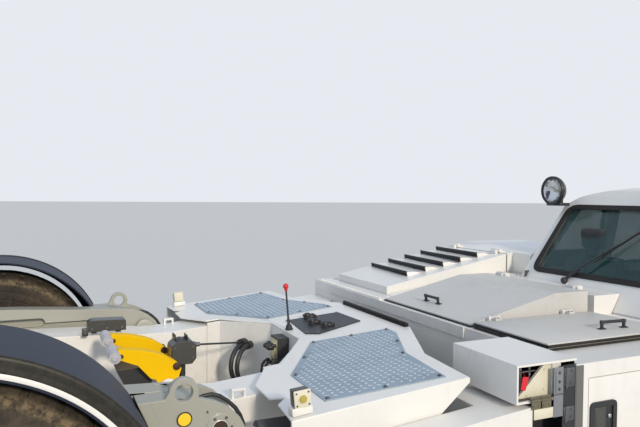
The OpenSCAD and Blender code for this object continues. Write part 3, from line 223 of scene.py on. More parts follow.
def cloth(name, colour):
    f = Finish(name)
    threads = {"Vector": f.place, "Scale": 220, "Distortion": 1.5}
    warp = f.add("ShaderNodeTexWave", {"wave_type": "BANDS", "bands_direction": "Y"}, threads, out="Fac")
    weft = f.add("ShaderNodeTexWave", {"wave_type": "BANDS", "bands_direction": "Z"}, threads, out="Fac")
    weave = warp * weft
    lighter = tuple(min(1, c * 1.8 + 0.02) for c in colour[:3]) + (1.0,)
    base = f.mix(weave * 0.5 + f.noise(9, 4) * 0.3, colour, lighter)
    return f.shade(Base_Color=base, Roughness=0.9, Normal=f.bump(weave, 0.35, 0.0008))


materials = (
    paint("whitePaint", rgb(0.79, 0.775, 0.745), dirt=0.28),
    paint("rimPaint", rgb(0.70, 0.69, 0.66), dirt=0.7, roughness=0.45, coat=0.0),
    paint("armGrey", rgb(0.35, 0.35, 0.305), dirt=0.35, roughness=0.42, coat=0.05),
    paint("rollerGrey", rgb(0.46, 0.46, 0.50), dirt=0.5, roughness=0.4, coat=0.0),
    # mudguard: black rubber whose blue tint is a painted reflection of the sky
    rubber("guardPaintedSkyBlue", rgb(0.010, 0.016, 0.034), dust=0.10, dustColour=rgb(0.05, 0.055, 0.065), roughness=0.5),
    rubber("lipBrown", rgb(0.018, 0.017, 0.013), dust=0.4, dustColour=rgb(0.085, 0.075, 0.06), roughness=0.42),
    paint("frameDark", rgb(0.055, 0.06, 0.065), dirt=0.6, roughness=0.6, coat=0.0),
    paint("boxGrey", rgb(0.050, 0.050, 0.046), dirt=0.35, roughness=0.4, coat=0.3,
          dustColour=rgb(0.16, 0.15, 0.12)),
    # hatch grey: partly a darker coat on the hatch tops, partly painted shade
    paint("hatchCoatAndShade", rgb(0.575, 0.565, 0.545), dirt=0.4, roughness=0.5, coat=0.05),
    paint("plateGrey", rgb(0.20, 0.215, 0.24), dirt=0.3, roughness=0.4, coat=0.1),
    # dark grey as painted shade on the edge of a white panel
    paint("jambPaintedShade", rgb(0.135, 0.135, 0.13), dirt=0.3, roughness=0.6, coat=0.0),
    metal("rodSteel", rgb(0.62, 0.63, 0.64), 0.18),
    metal("treadMetal", rgb(0.34, 0.42, 0.49), 0.45, tarnish=0.25, metallic=0.4),
    metal("studSilver", rgb(0.74, 0.78, 0.82), 0.3, tarnish=0.25, metallic=0.7),
    metal("screwSteel", rgb(0.20, 0.20, 0.21), 0.38, tarnish=0.4),
    metal("zincPlate", rgb(0.62, 0.60, 0.42), 0.35, tarnish=0.3, metallic=0.8),
    rubber("pinBrown", rgb(0.045, 0.028, 0.018), dust=0.3, dustColour=rgb(0.10, 0.06, 0.04), roughness=0.5),
    paint("yellowPaint", rgb(0.88, 0.53, 0.0), dirt=0.25, roughness=0.5, coat=0.0,
          dustColour=rgb(0.28, 0.17, 0.03), shine=0.12),
    paint("signYellow", rgb(0.92, 0.62, 0.01), dirt=0.12, roughness=0.4, coat=0.3),
    plastic("blackPlastic", rgb(0.022, 0.023, 0.026)),
    rubber("sealRubber", rgb(0.016, 0.015, 0.015), dust=0.3, dustColour=rgb(0.07, 0.055, 0.045), roughness=0.6),
    plastic("creamPlastic", rgb(0.68, 0.64, 0.50), 0.5),
    plastic("buttonLime", rgb(0.42, 0.34, 0.06), 0.35),
    plastic("markerRed", rgb(0.62, 0.02, 0.03), 0.3),
    paint("housingOlive", rgb(0.13, 0.115, 0.075), dirt=0.3, roughness=0.4, coat=0.1),
    metal("lampChrome", rgb(0.82, 0.83, 0.84), 0.1, tarnish=0.05),
    glass("lensClear", rgb(0.55, 0.60, 0.62), 0.16, rgb(0.7, 0.7, 0.7)),
    plastic("lensAmber", rgb(0.80, 0.26, 0.01), 0.12, scuff=0.05),
    plastic("lensRed", rgb(0.50, 0.012, 0.012), 0.12, scuff=0.05),
    glass("windowGlass", rgb(0.006, 0.055, 0.052), 0.46, rgb(0.08, 0.15, 0.15)),
    cloth("linerGrey", rgb(0.10, 0.105, 0.11)),
    cloth("seatFabric", rgb(0.03, 0.03, 0.035)),
    rubber("tyreRubber", rgb(0.026, 0.022, 0.018), dust=0.6, dustColour=rgb(0.12, 0.09, 0.06)),
    rubber("rearRubber", rgb(0.026, 0.022, 0.018), dust=0.6, dustColour=rgb(0.12, 0.09, 0.06),
           ring={"x": -2.350, "z": 0.535, "low": 0.468, "high": 0.516, "colour": rgb(0.23, 0.17, 0.095)}),
)
finishes = {material.name: material for material in materials}
slotFinish = {
    "white_paint": "whitePaint", "rim_paint": "rimPaint", "arm_grey": "armGrey", "guard_dark": "guardPaintedSkyBlue",
    "frame_dark": "frameDark", "steel": "rodSteel", "tread_metal": "treadMetal", "yellow_paint": "yellowPaint",
    "black_plastic": "blackPlastic", "cream_plastic": "creamPlastic", "marker_red": "markerRed",
    "lamp_chrome": "lampChrome", "window_glass": "windowGlass", "seat_fabric": "seatFabric",
    "tyre_rubber": "tyreRubber", "roller_grey": "rollerGrey",
}
for row in frame["record"]["subparts"]:
    mesh = nodes[row["node"]].data
    mesh.materials.clear()
    mesh.materials.append(finishes[slotFinish[row["material_slot"]]])
# the mid hatch gets the hatch grey, which is partly painted shade
nodes["mid_hatch"].data.materials[0] = finishes["hatchCoatAndShade"]
print("finishes on the nodes")

# the paint's edges catch the light, so the big painted nodes get small rounded edges
softEdges = {
    "nodes": ["cradle_deck", "cradle_frame", "fork_legs", "body_side_left", "body_side_right", "engine_hood",
              "mid_hatch", "cab_shell", "cab_door", "nose_panel", "swing_arm_left", "swing_arm_right",
              "hold_down_left", "hold_down_right"],
    "width": 0.0022, "flat": 0.1, "sharp": 40,
}


def easeEdges(s):
    for name in s["nodes"]:
        node = nodes[name]
        node.modifiers.new("weld", "WELD").merge_threshold = 1e-5
        flat = node.modifiers.new("flat", "DECIMATE")
        flat.decimate_type, flat.angle_limit = "DISSOLVE", math.radians(s["flat"])
        edge = node.modifiers.new("edge", "BEVEL")
        edge.width, edge.segments, edge.limit_method = s["width"], 2, "ANGLE"
        edge.angle_limit, edge.use_clamp_overlap = math.radians(s["sharp"]), False


easeEdges(softEdges)


# mesh helpers, each adding one shape to an open bmesh
def at(x, y, z, turn=0, about="Z"):
    return Matrix.Translation((x, y, z)) @ Matrix.Rotation(math.radians(turn), 4, about)


def addBlock(bm, low, high, edge=0.0, place=Matrix()):
    low, high = Vector(low), Vector(high)
    middle, size = Matrix.Translation((low + high) / 2), Matrix.Diagonal((*(high - low), 1))
    block = bmesh.ops.create_cube(bm, size=1, matrix=place @ middle @ size)
    if edge:
        edges = list(dict.fromkeys(e for v in block["verts"] for e in v.link_edges))
        bmesh.ops.bevel(bm, geom=edges, offset=edge, offset_type="OFFSET", segments=2, profile=0.5,
                        affect="EDGES", material=-1)


def addRod(bm, start, end, radius, tip=None, sides=20, place=Matrix()):
    start, end = place @ Vector(start), place @ Vector(end)
    along = end - start
    middle = Matrix.Translation((start + end) / 2) @ along.to_track_quat("Z", "Y").to_matrix().to_4x4()
    bmesh.ops.create_cone(bm, cap_ends=True, segments=sides, radius1=radius,
                          radius2=radius if tip is None else tip, depth=along.length, matrix=middle)


def addTurned(bm, profile, place, steps, angle=360, closed=False):
    # profile points are (radius, height) about the place's own Z
    before = set(bm.verts)
    points = [bm.verts.new(place @ Vector((r, 0, h))) for r, h in profile]
    ends = points[1:] + points[:1] if closed else points[1:]
    lines = [bm.edges.new(pair) for pair in zip(points, ends)]
    axis = place.to_3x3() @ Vector((0, 0, 1))
    bmesh.ops.spin(bm, geom=points + lines, cent=place.translation, axis=axis, angle=math.radians(angle),
                   steps=steps, use_merge=angle == 360)
    fresh = [v for v in bm.verts if v not in before]
    bmesh.ops.remove_doubles(bm, verts=fresh, dist=1e-5)
    if angle != 360:
        rim = [e for e in bm.edges if e.is_boundary and e.verts[0] not in before]
        bmesh.ops.holes_fill(bm, edges=rim, sides=0)


def addPipe(bm, path, radius, sides=10, closed=False):
    # a ring is carried along the path and drawn out from point to point
    path = [Vector(p) for p in path]
    count = len(path)
    frames, up = [], None
    for i, point in enumerate(path):
        ahead = path[(i + 1) % count] if closed else path[min(i + 1, count - 1)]
        behind = path[i - 1] if closed or i else path[0]
        along = (ahead - behind).normalized()
        side = along.cross(up if up is not None else Vector((0.31, 0.17, 0.94))).normalized()
        up = side.cross(along).normalized()
        turn = Matrix((side, up, along)).transposed().to_4x4()
        frames.append(Matrix.Translation(point) @ turn)
    ring = bmesh.ops.create_circle(bm, cap_ends=not closed, segments=sides, radius=radius,
                                   matrix=frames[0])["verts"]
    edges = [e for e in bm.edges if e.verts[0] in set(ring) and e.verts[1] in set(ring)]
    first = edges
    for before, after in zip(frames, frames[1:]):
        drawn = bmesh.ops.extrude_edge_only(bm, edges=edges)["geom"]
        verts = [g for g in drawn if isinstance(g, bmesh.types.BMVert)]
        edges = [g for g in drawn if isinstance(g, bmesh.types.BMEdge)
                 and g.verts[0] in set(verts) and g.verts[1] in set(verts)]
        bmesh.ops.transform(bm, matrix=after @ before.inverted(), verts=verts)
    if closed:
        bmesh.ops.bridge_loops(bm, edges=edges + first)
    else:
        bmesh.ops.edgeloop_fill(bm, edges=edges)


def addPrism(bm, outline, thick, place):
    face = bm.faces.new([bm.verts.new(place @ Vector((x, y, 0))) for x, y in outline])
    drawn = bmesh.ops.extrude_face_region(bm, geom=[face])["geom"]
    along = place.to_3x3() @ Vector((0, 0, thick))
    bmesh.ops.translate(bm, vec=along, verts=[g for g in drawn if isinstance(g, bmesh.types.BMVert)])


def addSlab(bm, outline, low, high):
    # a side view in X and Z, drawn across from y low to y high
    addPrism(bm, outline, high - low, Matrix.Translation((0, high, 0)) @ Matrix.Rotation(math.pi / 2, 4, "X"))


def addShell(bm, low, high, open_, thick):
    # a box of sheet without the walls on its open_ sides, such as ((0, -1, 0),)
    low, high = Vector(low), Vector(high)
    size = Matrix.Diagonal((*(high - low), 1))
    made = bmesh.ops.create_cube(bm, size=1, matrix=Matrix.Translation((low + high) / 2) @ size)["verts"]
    walls = list(dict.fromkeys(f for v in made for f in v.link_faces))
    gone = [f for f in walls if any(f.normal.dot(Vector(way)) > 0.9 for way in open_)]
    bmesh.ops.delete(bm, geom=gone, context="FACES")
    bmesh.ops.solidify(bm, geom=[f for f in walls if f.is_valid], thickness=thick)


def addFrame(bm, outline, width, thick, place):
    # a flat ring as wide as width inside the outline, given a thickness
    face = bm.faces.new([bm.verts.new(place @ Vector((x, y, 0))) for x, y in outline])
    face.normal_update()
    ring = bmesh.ops.inset_region(bm, faces=[face], thickness=width, use_even_offset=True,
                                  use_boundary=True)["faces"]
    bmesh.ops.delete(bm, geom=[face], context="FACES_ONLY")
    drawn = bmesh.ops.extrude_face_region(bm, geom=ring)["geom"]
    along = place.to_3x3() @ Vector((0, 0, thick))
    bmesh.ops.translate(bm, vec=along, verts=[g for g in drawn if isinstance(g, bmesh.types.BMVert)])


def addBolt(bm, place, size, sides=6):
    # washer and head, standing on the place's own XY plane
    for radius, tip, low, high, n in ((1.45, 1.4, 0, 0.25, 20), (1, 1, 0.25, 0.85, sides),
                                      (1, 0.82, 0.85, 1.0, sides)):
        addRod(bm, (0, 0, low * size), (0, 0, high * size), radius * size, tip * size, n, place)


def addBoltCircle(bm, place, count, radius, height, size, start=0):
    # bolts on a circle about the place's own Z
    for i in range(count):
        a = math.tau * (i + start) / count
        addBolt(bm, place @ at(radius * math.cos(a), radius * math.sin(a), height), size)


def rectangle(x0, y0, x1, y1):
    return [(x0, y0), (x1, y0), (x1, y1), (x0, y1)]


def rounded(corners, radius, steps=5):
    # the outline with each corner turned into a curve
    outline = []
    for i, corner in enumerate(corners):
        here = Vector(corner)
        sides = [Vector(corners[i - 1]) - here, Vector(corners[(i + 1) % len(corners)]) - here]
        start, end = [here + s.normalized() * min(radius, s.length * 0.45) for s in sides]
        for k in range(steps + 1):
            t = k / steps
            outline.append(tuple(start * (1 - t) ** 2 + here * (2 * t * (1 - t)) + end * t ** 2))
    return outline


def addPiece(name, bm, finish, body, sharp=35, edge=0.0, flat=False):
    bmesh.ops.recalc_face_normals(bm, faces=bm.faces)
    mesh = bpy.data.meshes.new(name)
    bm.to_mesh(mesh)
    bm.free()
    if not flat:
        mesh.shade_smooth()
        mesh.set_sharp_from_angle(angle=math.radians(sharp))
    mesh.materials.append(finishes[finish])
    piece = bpy.data.objects.new(name, mesh)
    scene.collection.objects.link(piece)
    if edge:
        bevel = piece.modifiers.new("edge", "BEVEL")
        bevel.width, bevel.segments, bevel.limit_method = edge, 2, "ANGLE"
        bevel.angle_limit = math.radians(sharp)
    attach(piece, body)
    return piece


# places that several pieces share, in metres
spots = {
    "rearAxle": (-2.350, 0.535), "frontAxle": (2.250, 0.460), "armPivot": (-1.550, 0.742),
    "deckRear": (-1.350, 0.790), "deckPitch": 5.2, "sideY": 1.285,
}
sideNames = {-1: "Right", 1: "Left"}
bodySide = {-1: "right", 1: "left"}


def onDeck(up=0.0):
    x, z = spots["deckRear"]
    return at(x, 0, z, -spots["deckPitch"], "Y") @ Matrix.Translation((-x, 0, up))


def wheelPlace(axle, side):
    # heights count outwards from the middle plane of the machine
    place = at(axle[0], 0, axle[1], 90, "X")
    return place if side < 0 else place @ Matrix.Rotation(math.pi, 4, "X")


def sideWall(x, z, side):
    # a plane on a body side, as seen from outside: its X to the right, its Y up, its Z out
    across = Vector((-side, 0, 0))
    turn = Matrix((across, (0, 0, 1), (0, side, 0))).transposed().to_4x4()
    return Matrix.Translation((x, side * spots["sideY"], z)) @ turn


# tyres
tyres = {
    "rear": {"axle": spots["rearAxle"], "radius": 0.535, "half": 0.165, "rim": 0.310, "middle": 1.100,
             "grooves": (0.022, 0.074), "steps": 132, "nuts": 10, "nutCircle": 0.190, "hub": 0.113,
             "rubber": "rearRubber"},
    "front": {"axle": spots["frontAxle"], "radius": 0.460, "half": 0.145, "rim": 0.255, "middle": 1.100,
              "grooves": (0.020, 0.064), "steps": 120, "nuts": 8, "nutCircle": 0.150, "hub": 0.103,
              "rubber": "tyreRubber"},
}


def makeWheel(end, side):
    t = tyres[end]
    r, half, rim = t["radius"], t["half"], t["rim"]
    depth, groove = 0.011, 0.011
    out = [(rim, half - 0.042), (rim + 0.008, half - 0.026), (rim + 0.020, half - 0.019),
           (rim + 0.030, half - 0.018), (rim + 0.034, half - 0.010), (rim + 0.050, half - 0.005),
           (rim + 0.075, half - 0.001), (rim + 0.080, half - 0.0035), (rim + 0.086, half - 0.0005),
           (r - 0.105, half), (r - 0.098, half - 0.003), (r - 0.090, half - 0.0005), (r - 0.060, half - 0.004),
           (r - 0.040, half - 0.010), (r - 0.024, half - 0.020), (r - 0.010, half - 0.036),
           (r - 0.003, half - 0.052), (r - 0.001, half - 0.064)]
    crown = []
    for start in reversed(t["grooves"]):
        crown += [(r, start + groove), (r - depth, start + groove - 0.002), (r - depth, start + 0.002),
                  (r, start)]
    profile = out + crown
    profile += [(x, -h) for x, h in reversed(profile)]
    bm = bmesh.new()
    place = wheelPlace(t["axle"], side)
    addTurned(bm, [(x, t["middle"] + h) for x, h in profile], place, steps=t["steps"], closed=True)
    # cross grooves through the shoulder blocks
    inverse = place.inverted()
    cut = []
    for face in bm.faces:
        p = inverse @ face.calc_center_median()
        share = (math.degrees(math.atan2(p.y, p.x)) % 360) / 360 * t["steps"]
        across = abs(p.z - t["middle"])
        if math.hypot(p.x, p.y) > r - 0.028 and across > t["grooves"][1] + groove and int(share) % 4 == 0:
            cut.append(face)
    bmesh.ops.inset_region(bm, faces=cut, thickness=0.002, depth=-0.009, use_even_offset=True)
    tyre = addPiece(end + "Tyre" + sideNames[side], bm, t["rubber"], end + "_wheel_" + bodySide[side], sharp=30)
    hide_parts(end + "_tyre_" + bodySide[side])
    # nuts on the disc, and the hub's cap with its bolts
    bm = bmesh.new()
    addBoltCircle(bm, place, t["nuts"], t["nutCircle"], t["middle"] + 0.025, 0.017, 0.5)
    hub, face = t["hub"], t["middle"] + half - 0.020
    addTurned(bm, [(0, face + 0.014), (0.05, face + 0.013), (hub - 0.030, face + 0.008), (hub - 0.022, face),
                   (hub - 0.022, face - 0.004)], place, steps=32)
    addBoltCircle(bm, place, 8, hub - 0.012, face, 0.006)
    addPiece(end + "WheelNuts" + sideNames[side], bm, "screwSteel", end + "_wheel_" + bodySide[side])


for side in (-1, 1):
    makeWheel("rear", side)
    makeWheel("front", side)
print("wheels")

# mudguards: the rubber lip and the thin white line on its inner edge
guard = {"outer": 0.6165, "inner": 0.5725, "face": 1.3015, "line": (0.5580, 0.5722), "arc": 170}


def makeGuardTrim(side):
    g = guard
    place = wheelPlace(spots["rearAxle"], side)
    if side > 0:
        place = place @ Matrix.Rotation(math.radians(-g["arc"]), 4, "Z")
    body = "arm_" + bodySide[side]
    o, i, f, (low, high) = g["outer"], g["inner"], g["face"], g["line"]
    bm = bmesh.new()
    bead = [(o - 0.007, f - 0.014), (o - 0.001, f - 0.011), (o, f - 0.004), (o - 0.004, f + 0.0005),
            (o - 0.012, f + 0.0018), (o - 0.022, f + 0.0004), (i + 0.014, f - 0.0004), (i + 0.006, f + 0.0016),
            (i, f + 0.001), (i - 0.0005, f - 0.0035), (low - 0.002, f - 0.0035), (low - 0.002, f - 0.007),
            (o - 0.008, f - 0.007)]
    addTurned(bm, bead, place, steps=84, angle=g["arc"], closed=True)
    addPiece("mudguardLip" + sideNames[side], bm, "lipBrown", body, sharp=50)
    bm = bmesh.new()
    addTurned(bm, [(high, f - 0.003), (high, f + 0.0015), (high - 0.003, f + 0.0024), (low + 0.003, f + 0.0024),
                   (low, f + 0.001), (low, f - 0.003)], place, steps=84, angle=g["arc"], closed=True)
    addPiece("mudguardLine" + sideNames[side], bm, "whitePaint", body, sharp=50)


for side in (-1, 1):
    makeGuardTrim(side)
print("mudguards")

# deck: raised studs on the tread plates, screws, the strip at the deck's front
tread = {"outline": [(-1.184, 1.047), (-1.182, 0.707), (-0.921, 0.309), (-0.508, 0.331), (-0.514, 0.428),
                     (-0.652, 0.733), (-0.695, 1.088)],
         "start": (-1.19, 0.30), "reach": 0.9, "pitch": 0.030, "long": 0.0105, "wide": 0.0045, "high": 0.0018,
         "taper": 0.45, "margin": 0.022, "top": 0.0043}


def clearOf(x, y, outline):
    # distance to the outline's nearest edge, negative outside it
    inside, nearest = False, 9.0
    for (x0, y0), (x1, y1) in zip(outline, outline[1:] + outline[:1]):
        if (y0 > y) != (y1 > y) and x < (x1 - x0) * (y - y0) / (y1 - y0) + x0:
            inside = not inside
        t = max(0, min(1, ((x - x0) * (x1 - x0) + (y - y0) * (y1 - y0)) / ((x1 - x0) ** 2 + (y1 - y0) ** 2)))
        nearest = min(nearest, math.hypot(x - x0 - t * (x1 - x0), y - y0 - t * (y1 - y0)))
    return nearest if inside else -nearest


def makeTread(side):
    t = tread
    bm = bmesh.new()
    pitch, (x0, y0) = t["pitch"], t["start"]
    rows = int(t["reach"] / pitch)
    for i in range(rows):
        for j in range(rows):
            x, y = x0 + i * pitch, y0 + j * pitch + (i % 2) * pitch / 2
            if clearOf(x, y, t["outline"]) < t["margin"]:
                continue
            place = onDeck(t["top"]) @ at(x, side * y, t["high"] / 2, 45 if (i + j) % 2 else -45)
            place = place @ Matrix.Diagonal((t["long"] / t["wide"], 1, 1, 1))
            bmesh.ops.create_cone(bm, cap_ends=True, segments=8, radius1=t["wide"],
                                  radius2=t["wide"] * t["taper"], depth=t["high"], matrix=place)
    addPiece("treadStuds" + sideNames[side], bm, "studSilver", "root")


for side in (-1, 1):
    makeTread(side)

deckScrews = {"tread": ((-1.168, 1.030), (-1.166, 0.722), (-1.045, 0.525), (-0.915, 0.326), (-0.715, 0.334),
                        (-0.524, 0.347), (-0.590, 0.560), (-0.668, 0.735), (-0.710, 1.070), (-0.940, 1.052)),
              "connectors": ((-0.862, 0.168), (-0.868, -0.137), (-0.825, -0.172), (-0.556, -0.088),
                             (-0.560, 0.158), (-0.70, 0.172)),
              "connectorTop": 0.0053}


def makeDeckScrews(d):
    bm = bmesh.new()
    for side in (-1, 1):
        for x, y in d["tread"]:
            addBolt(bm, onDeck(tread["top"]) @ at(x, side * y, 0), 0.0065)
    for x, y in d["connectors"]:
        addBolt(bm, onDeck(d["connectorTop"]) @ at(x, y, 0), 0.0055)
    addPiece("deckScrews", bm, "screwSteel", "root")


makeDeckScrews(deckScrews)

noseStrip = {"half": 0.362, "top": 0.021, "screws": (-0.30, -0.10, 0.10, 0.30)}


def makeNoseStrip(n):
    half = n["half"]
    bm = bmesh.new()
    addBlock(bm, (-0.418, -half, 0.001), (-0.4005, half, n["top"]), 0.004, onDeck())
    addBlock(bm, (-0.424, 0.006 - half, 0.0005), (-0.412, half - 0.006, 0.007), 0.002, onDeck())
    addPiece("noseStrip", bm, "sealRubber", "root")
    bm = bmesh.new()
    for y in n["screws"]:
        addBolt(bm, onDeck(n["top"]) @ at(-0.409, y, 0), 0.004)
    addPiece("noseStripScrews", bm, "screwSteel", "root")


makeNoseStrip(noseStrip)

# connectors on the black plate: sockets with flap lids and a lever each
connectors = {"spots": ((-0.744, 0.150), (-0.775, 0.012), (-0.743, -0.088)), "radius": 0.0195}


def makeConnectors(c):
    bm = bmesh.new()
    r = c["radius"]
    for x, y in c["spots"]:
        place = onDeck(0.005) @ at(x, y, 0)
        addTurned(bm, [(r + 0.006, 0), (r + 0.006, 0.004), (r, 0.006), (r, 0.022), (r - 0.002, 0.027),
                       (r - 0.008, 0.030), (0, 0.031)], place, steps=28)
        addBlock(bm, (0.010, -0.016, -0.001), (0.050, 0.016, 0.015), 0.003, place)
        addBlock(bm, (0.030, -0.020, 0.011), (0.042, 0.020, 0.020), 0.002, place)
        addRod(bm, (-0.022, -0.010, 0.020), (-0.022, 0.010, 0.020), 0.004, sides=12, place=place)
        addBlock(bm, (-0.026, -0.005, 0.012), (-0.014, 0.005, 0.026), 0.0015, place)
    addPiece("connectorSockets", bm, "blackPlastic", "root")


makeConnectors(connectors)


# whip marker: black foot and rod with a red ball
whip = {"place": onDeck(0.0003) @ at(-0.914, 0, 0), "ball": 0.015, "ballUp": 0.232}


def makeWhip(w):
    place = w["place"]
    bm = bmesh.new()
    addTurned(bm, [(0, 0), (0.021, 0), (0.021, 0.006), (0.017, 0.010), (0.015, 0.024), (0.008, 0.030),
                   (0.0065, 0.060), (0.0055, 0.064), (0.0045, 0.226), (0, 0.228)], place, steps=24)
    rod = addPiece("whipRod", bm, "blackPlastic", "root")
    bm = bmesh.new()
    bmesh.ops.create_uvsphere(bm, u_segments=24, v_segments=14, radius=w["ball"],
                              matrix=place @ at(0, 0, w["ballUp"]))
    addTurned(bm, [(0.0052, 0.206), (0.008, 0.208), (0.009, 0.222), (0.0052, 0.224)], place, steps=20,
              closed=True)
    ball = addPiece("whipBall", bm, "markerRed", "root")
    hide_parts("whip_marker")


makeWhip(whip)

# push-button boxes on a pad: dark back, cream lid with screws, the button in a collar
buttonBox = {"x": {-1: -1.330, 1: -1.305}, "y": 1.116, "wide": 0.062, "high": 0.060, "deep": 0.036,
             "pad": 0.030, "back": {-1: "boxGrey", 1: "creamPlastic"}}


def makeButtonBox(side):
    b = buttonBox
    w, h = b["wide"], b["high"]
    # the lid's own plane: X along the machine, Y up, Z outwards
    place = onDeck(0.0003) @ Matrix.Translation((b["x"][side] + w / 2, side * b["y"], b["pad"] + h / 2))
    place = place @ Matrix(((-side, 0, 0, 0), (0, 0, side, 0), (0, 1, 0, 0), (0, 0, 0, 1)))
    bm = bmesh.new()
    addBlock(bm, (-w / 2 + 0.001, -h / 2 + 0.001, -b["deep"]), (w / 2 - 0.001, h / 2 - 0.001, 0.001), 0.004,
             place)
    addRod(bm, (0, -h / 2 + 0.002, -0.018), (0, -h / 2 - b["pad"], -0.018), 0.009, place=place)
    addPiece("buttonBack" + sideNames[side], bm, b["back"][side], "root")
    bm = bmesh.new()
    addBlock(bm, (-w / 2 - 0.008, -h / 2 - b["pad"], -b["deep"] - 0.010),
             (w / 2 + 0.008, -h / 2 - 0.001, 0.002), 0.007, place)
    addPiece("buttonPad" + sideNames[side], bm, "whitePaint", "root")
    bm = bmesh.new()
    addBlock(bm, (-w / 2, -h / 2, 0.001), (w / 2, h / 2, 0.010), 0.0035, place)
    addTurned(bm, [(0.0175, 0.009), (0.0175, 0.011), (0.0155, 0.0125), (0.0135, 0.0125), (0.0135, 0.009)],
              place, steps=28, closed=True)
    lid = addPiece("buttonLid" + sideNames[side], bm, "creamPlastic", "root")
    if side < 0:
        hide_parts("button_boxes")
    bm = bmesh.new()
    for x in (-1, 1):
        for y in (-1, 1):
            addBolt(bm, place @ at(x * (w / 2 - 0.009), y * (h / 2 - 0.009), 0.0098), 0.0026, sides=12)
    addPiece("buttonScrews" + sideNames[side], bm, "screwSteel", "root")
    bm = bmesh.new()
    addTurned(bm, [(0.0132, 0.008), (0.0132, 0.0145), (0.0118, 0.0170), (0.006, 0.0182), (0, 0.0184)], place,
              steps=28)
    addPiece("buttonKnob" + sideNames[side], bm, "buttonLime", "root")


for side in (-1, 1):
    makeButtonBox(side)
print("deck")

# hold-down arms: dark caps on their pins, collars at the tips
holdDown = {"x": -1.582, "z": 0.658, "in": 0.130, "out": 0.190}


def makeHoldCaps(side):
    h = holdDown
    bm = bmesh.new()
    for dx, dz, r in ((0.039, 0.092, 0.0175), (-0.205, 0.160, 0.010)):
        for y, way in ((h["out"], 1), (h["in"], -1)):
            place = at(h["x"] + dx, side * y, h["z"] + dz, -90 * side * way, "X")
            addTurned(bm, [(r, 0), (r, 0.0045), (r * 0.85, 0.0082), (r * 0.5, 0.0098), (0, 0.0102)], place,
                      steps=24)
    addPiece("holdDownCaps" + sideNames[side], bm, "pinBrown", "hold_down_" + bodySide[side])
    bm = bmesh.new()
    tip = (h["x"] - 0.236, h["z"] + 0.168)
    for y, way in ((0.070, -1), (0.250, 1)):
        place = at(tip[0], side * y, tip[1], -90 * side * way, "X")
        addTurned(bm, [(0.015, -0.002), (0.015, 0.001), (0.012, 0.0035), (0.009, 0.004), (0.0085, 0.001),
                       (0, 0.001)], place, steps=20)
    collar = at(tip[0], side * 0.124, tip[1], -90 * side, "X")
    addTurned(bm, [(0.0215, -0.001), (0.0250, 0.000), (0.0262, 0.006), (0.0240, 0.010), (0.0240, 0.062),
                   (0.0262, 0.066), (0.0250, 0.072), (0.0215, 0.073)], collar, steps=28, closed=True)
    addPiece("rollerCaps" + sideNames[side], bm, "rollerGrey", "hold_down_" + bodySide[side])


for side in (-1, 1):
    makeHoldCaps(side)


# sensor box on its post, stop pads and the guard on the left leg, in the place of the sensor_box node
sensor = {"housing": [(-1.540, 0.738), (-1.540, 0.806), (-1.514, 0.829), (-1.442, 0.829), (-1.420, 0.806),
                      (-1.420, 0.742), (-1.440, 0.716), (-1.514, 0.716)],
          "pads": [(-1.800, 0.735), (-1.645, 0.745), (-1.640, 0.592), (-1.680, 0.592), (-1.765, 0.665)],
          "guard": [(-1.888, 0.800), (-1.690, 0.800), (-1.690, 0.850), (-1.700, 0.858), (-1.862, 0.862),
                    (-1.888, 0.848)]}


def makeSensor(s):
    bm = bmesh.new()
    addSlab(bm, s["housing"], -0.056, 0.056)
    housing = addPiece("sensorHousing", bm, "boxGrey", "root", edge=0.004)
    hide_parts("sensor_box")
    bm = bmesh.new()
    addRod(bm, (-1.480, 0, 0.590), (-1.480, 0, 0.719), 0.017)
    addTurned(bm, [(0.034, 0.5902), (0.034, 0.622), (0.028, 0.634), (0.020, 0.640), (0.0165, 0.640)],
              at(-1.480, 0, 0), steps=32)
    addBlock(bm, (-1.518, -0.034, 0.826), (-1.460, 0.034, 0.834), 0.002)
    addBlock(bm, (-1.5205, -0.036, 0.828), (-1.5155, 0.036, 0.858), 0.0015)
    addBlock(bm, (-1.4630, -0.036, 0.828), (-1.4580, 0.036, 0.852), 0.0015)
    addSlab(bm, s["pads"], -0.120, 0.120)
    mount = addPiece("sensorMount", bm, "blackPlastic", "root", edge=0.0015)
    bm = bmesh.new()
    addSlab(bm, s["guard"], 0.450, 0.540)
    addBlock(bm, (-1.915, 0.4480, 0.7805), (-1.884, 0.470, 0.822), 0.003)
    for x in (-1.850, -1.725):
        addBlock(bm, (x - 0.014, 0.507, 0.7803), (x + 0.014, 0.535, 0.804), 0.002)
    guardBox = addPiece("guardBox", bm, "boxGrey", "root", edge=0.003)
    bm = bmesh.new()
    for x in (-1.865, -1.788, -1.712):
        addBolt(bm, at(x, 0.450, 0.818, 90, "X"), 0.0045)
    addBolt(bm, at(-1.900, 0.448, 0.800, 90, "X"), 0.004)
    for y in (-0.022, 0.022):
        addBlock(bm, (-1.5225, y - 0.009, 0.838), (-1.5200, y + 0.009, 0.852), 0.0008)
        addBolt(bm, at(-1.490, y, 0.834), 0.004)
    for z in (0.748, 0.800):
        for x in (-1.523, -1.437):
            for y, turn in ((-0.056, 90), (0.056, -90)):
                addBolt(bm, at(x, y, z, turn, "X"), 0.0035)
    facing = Matrix(((0, 0, -1, 0), (-1, 0, 0, 0), (0, 1, 0, 0), (0, 0, 0, 1)))
    rear = Matrix.Translation((-1.5402, 0, 0.772)) @ facing
    addFrame(bm, rounded(rectangle(-0.050, -0.030, 0.050, 0.030), 0.010), 0.0045, 0.002, rear)
    addTurned(bm, [(0.016, 0), (0.016, 0.010), (0.012, 0.014), (0.010, 0.034), (0, 0.034)],
              at(-1.420, 0.024, 0.790, 90, "Y"), steps=20)
    addPiece("sensorTrim", bm, "screwSteel", "root")


makeSensor(sensor)


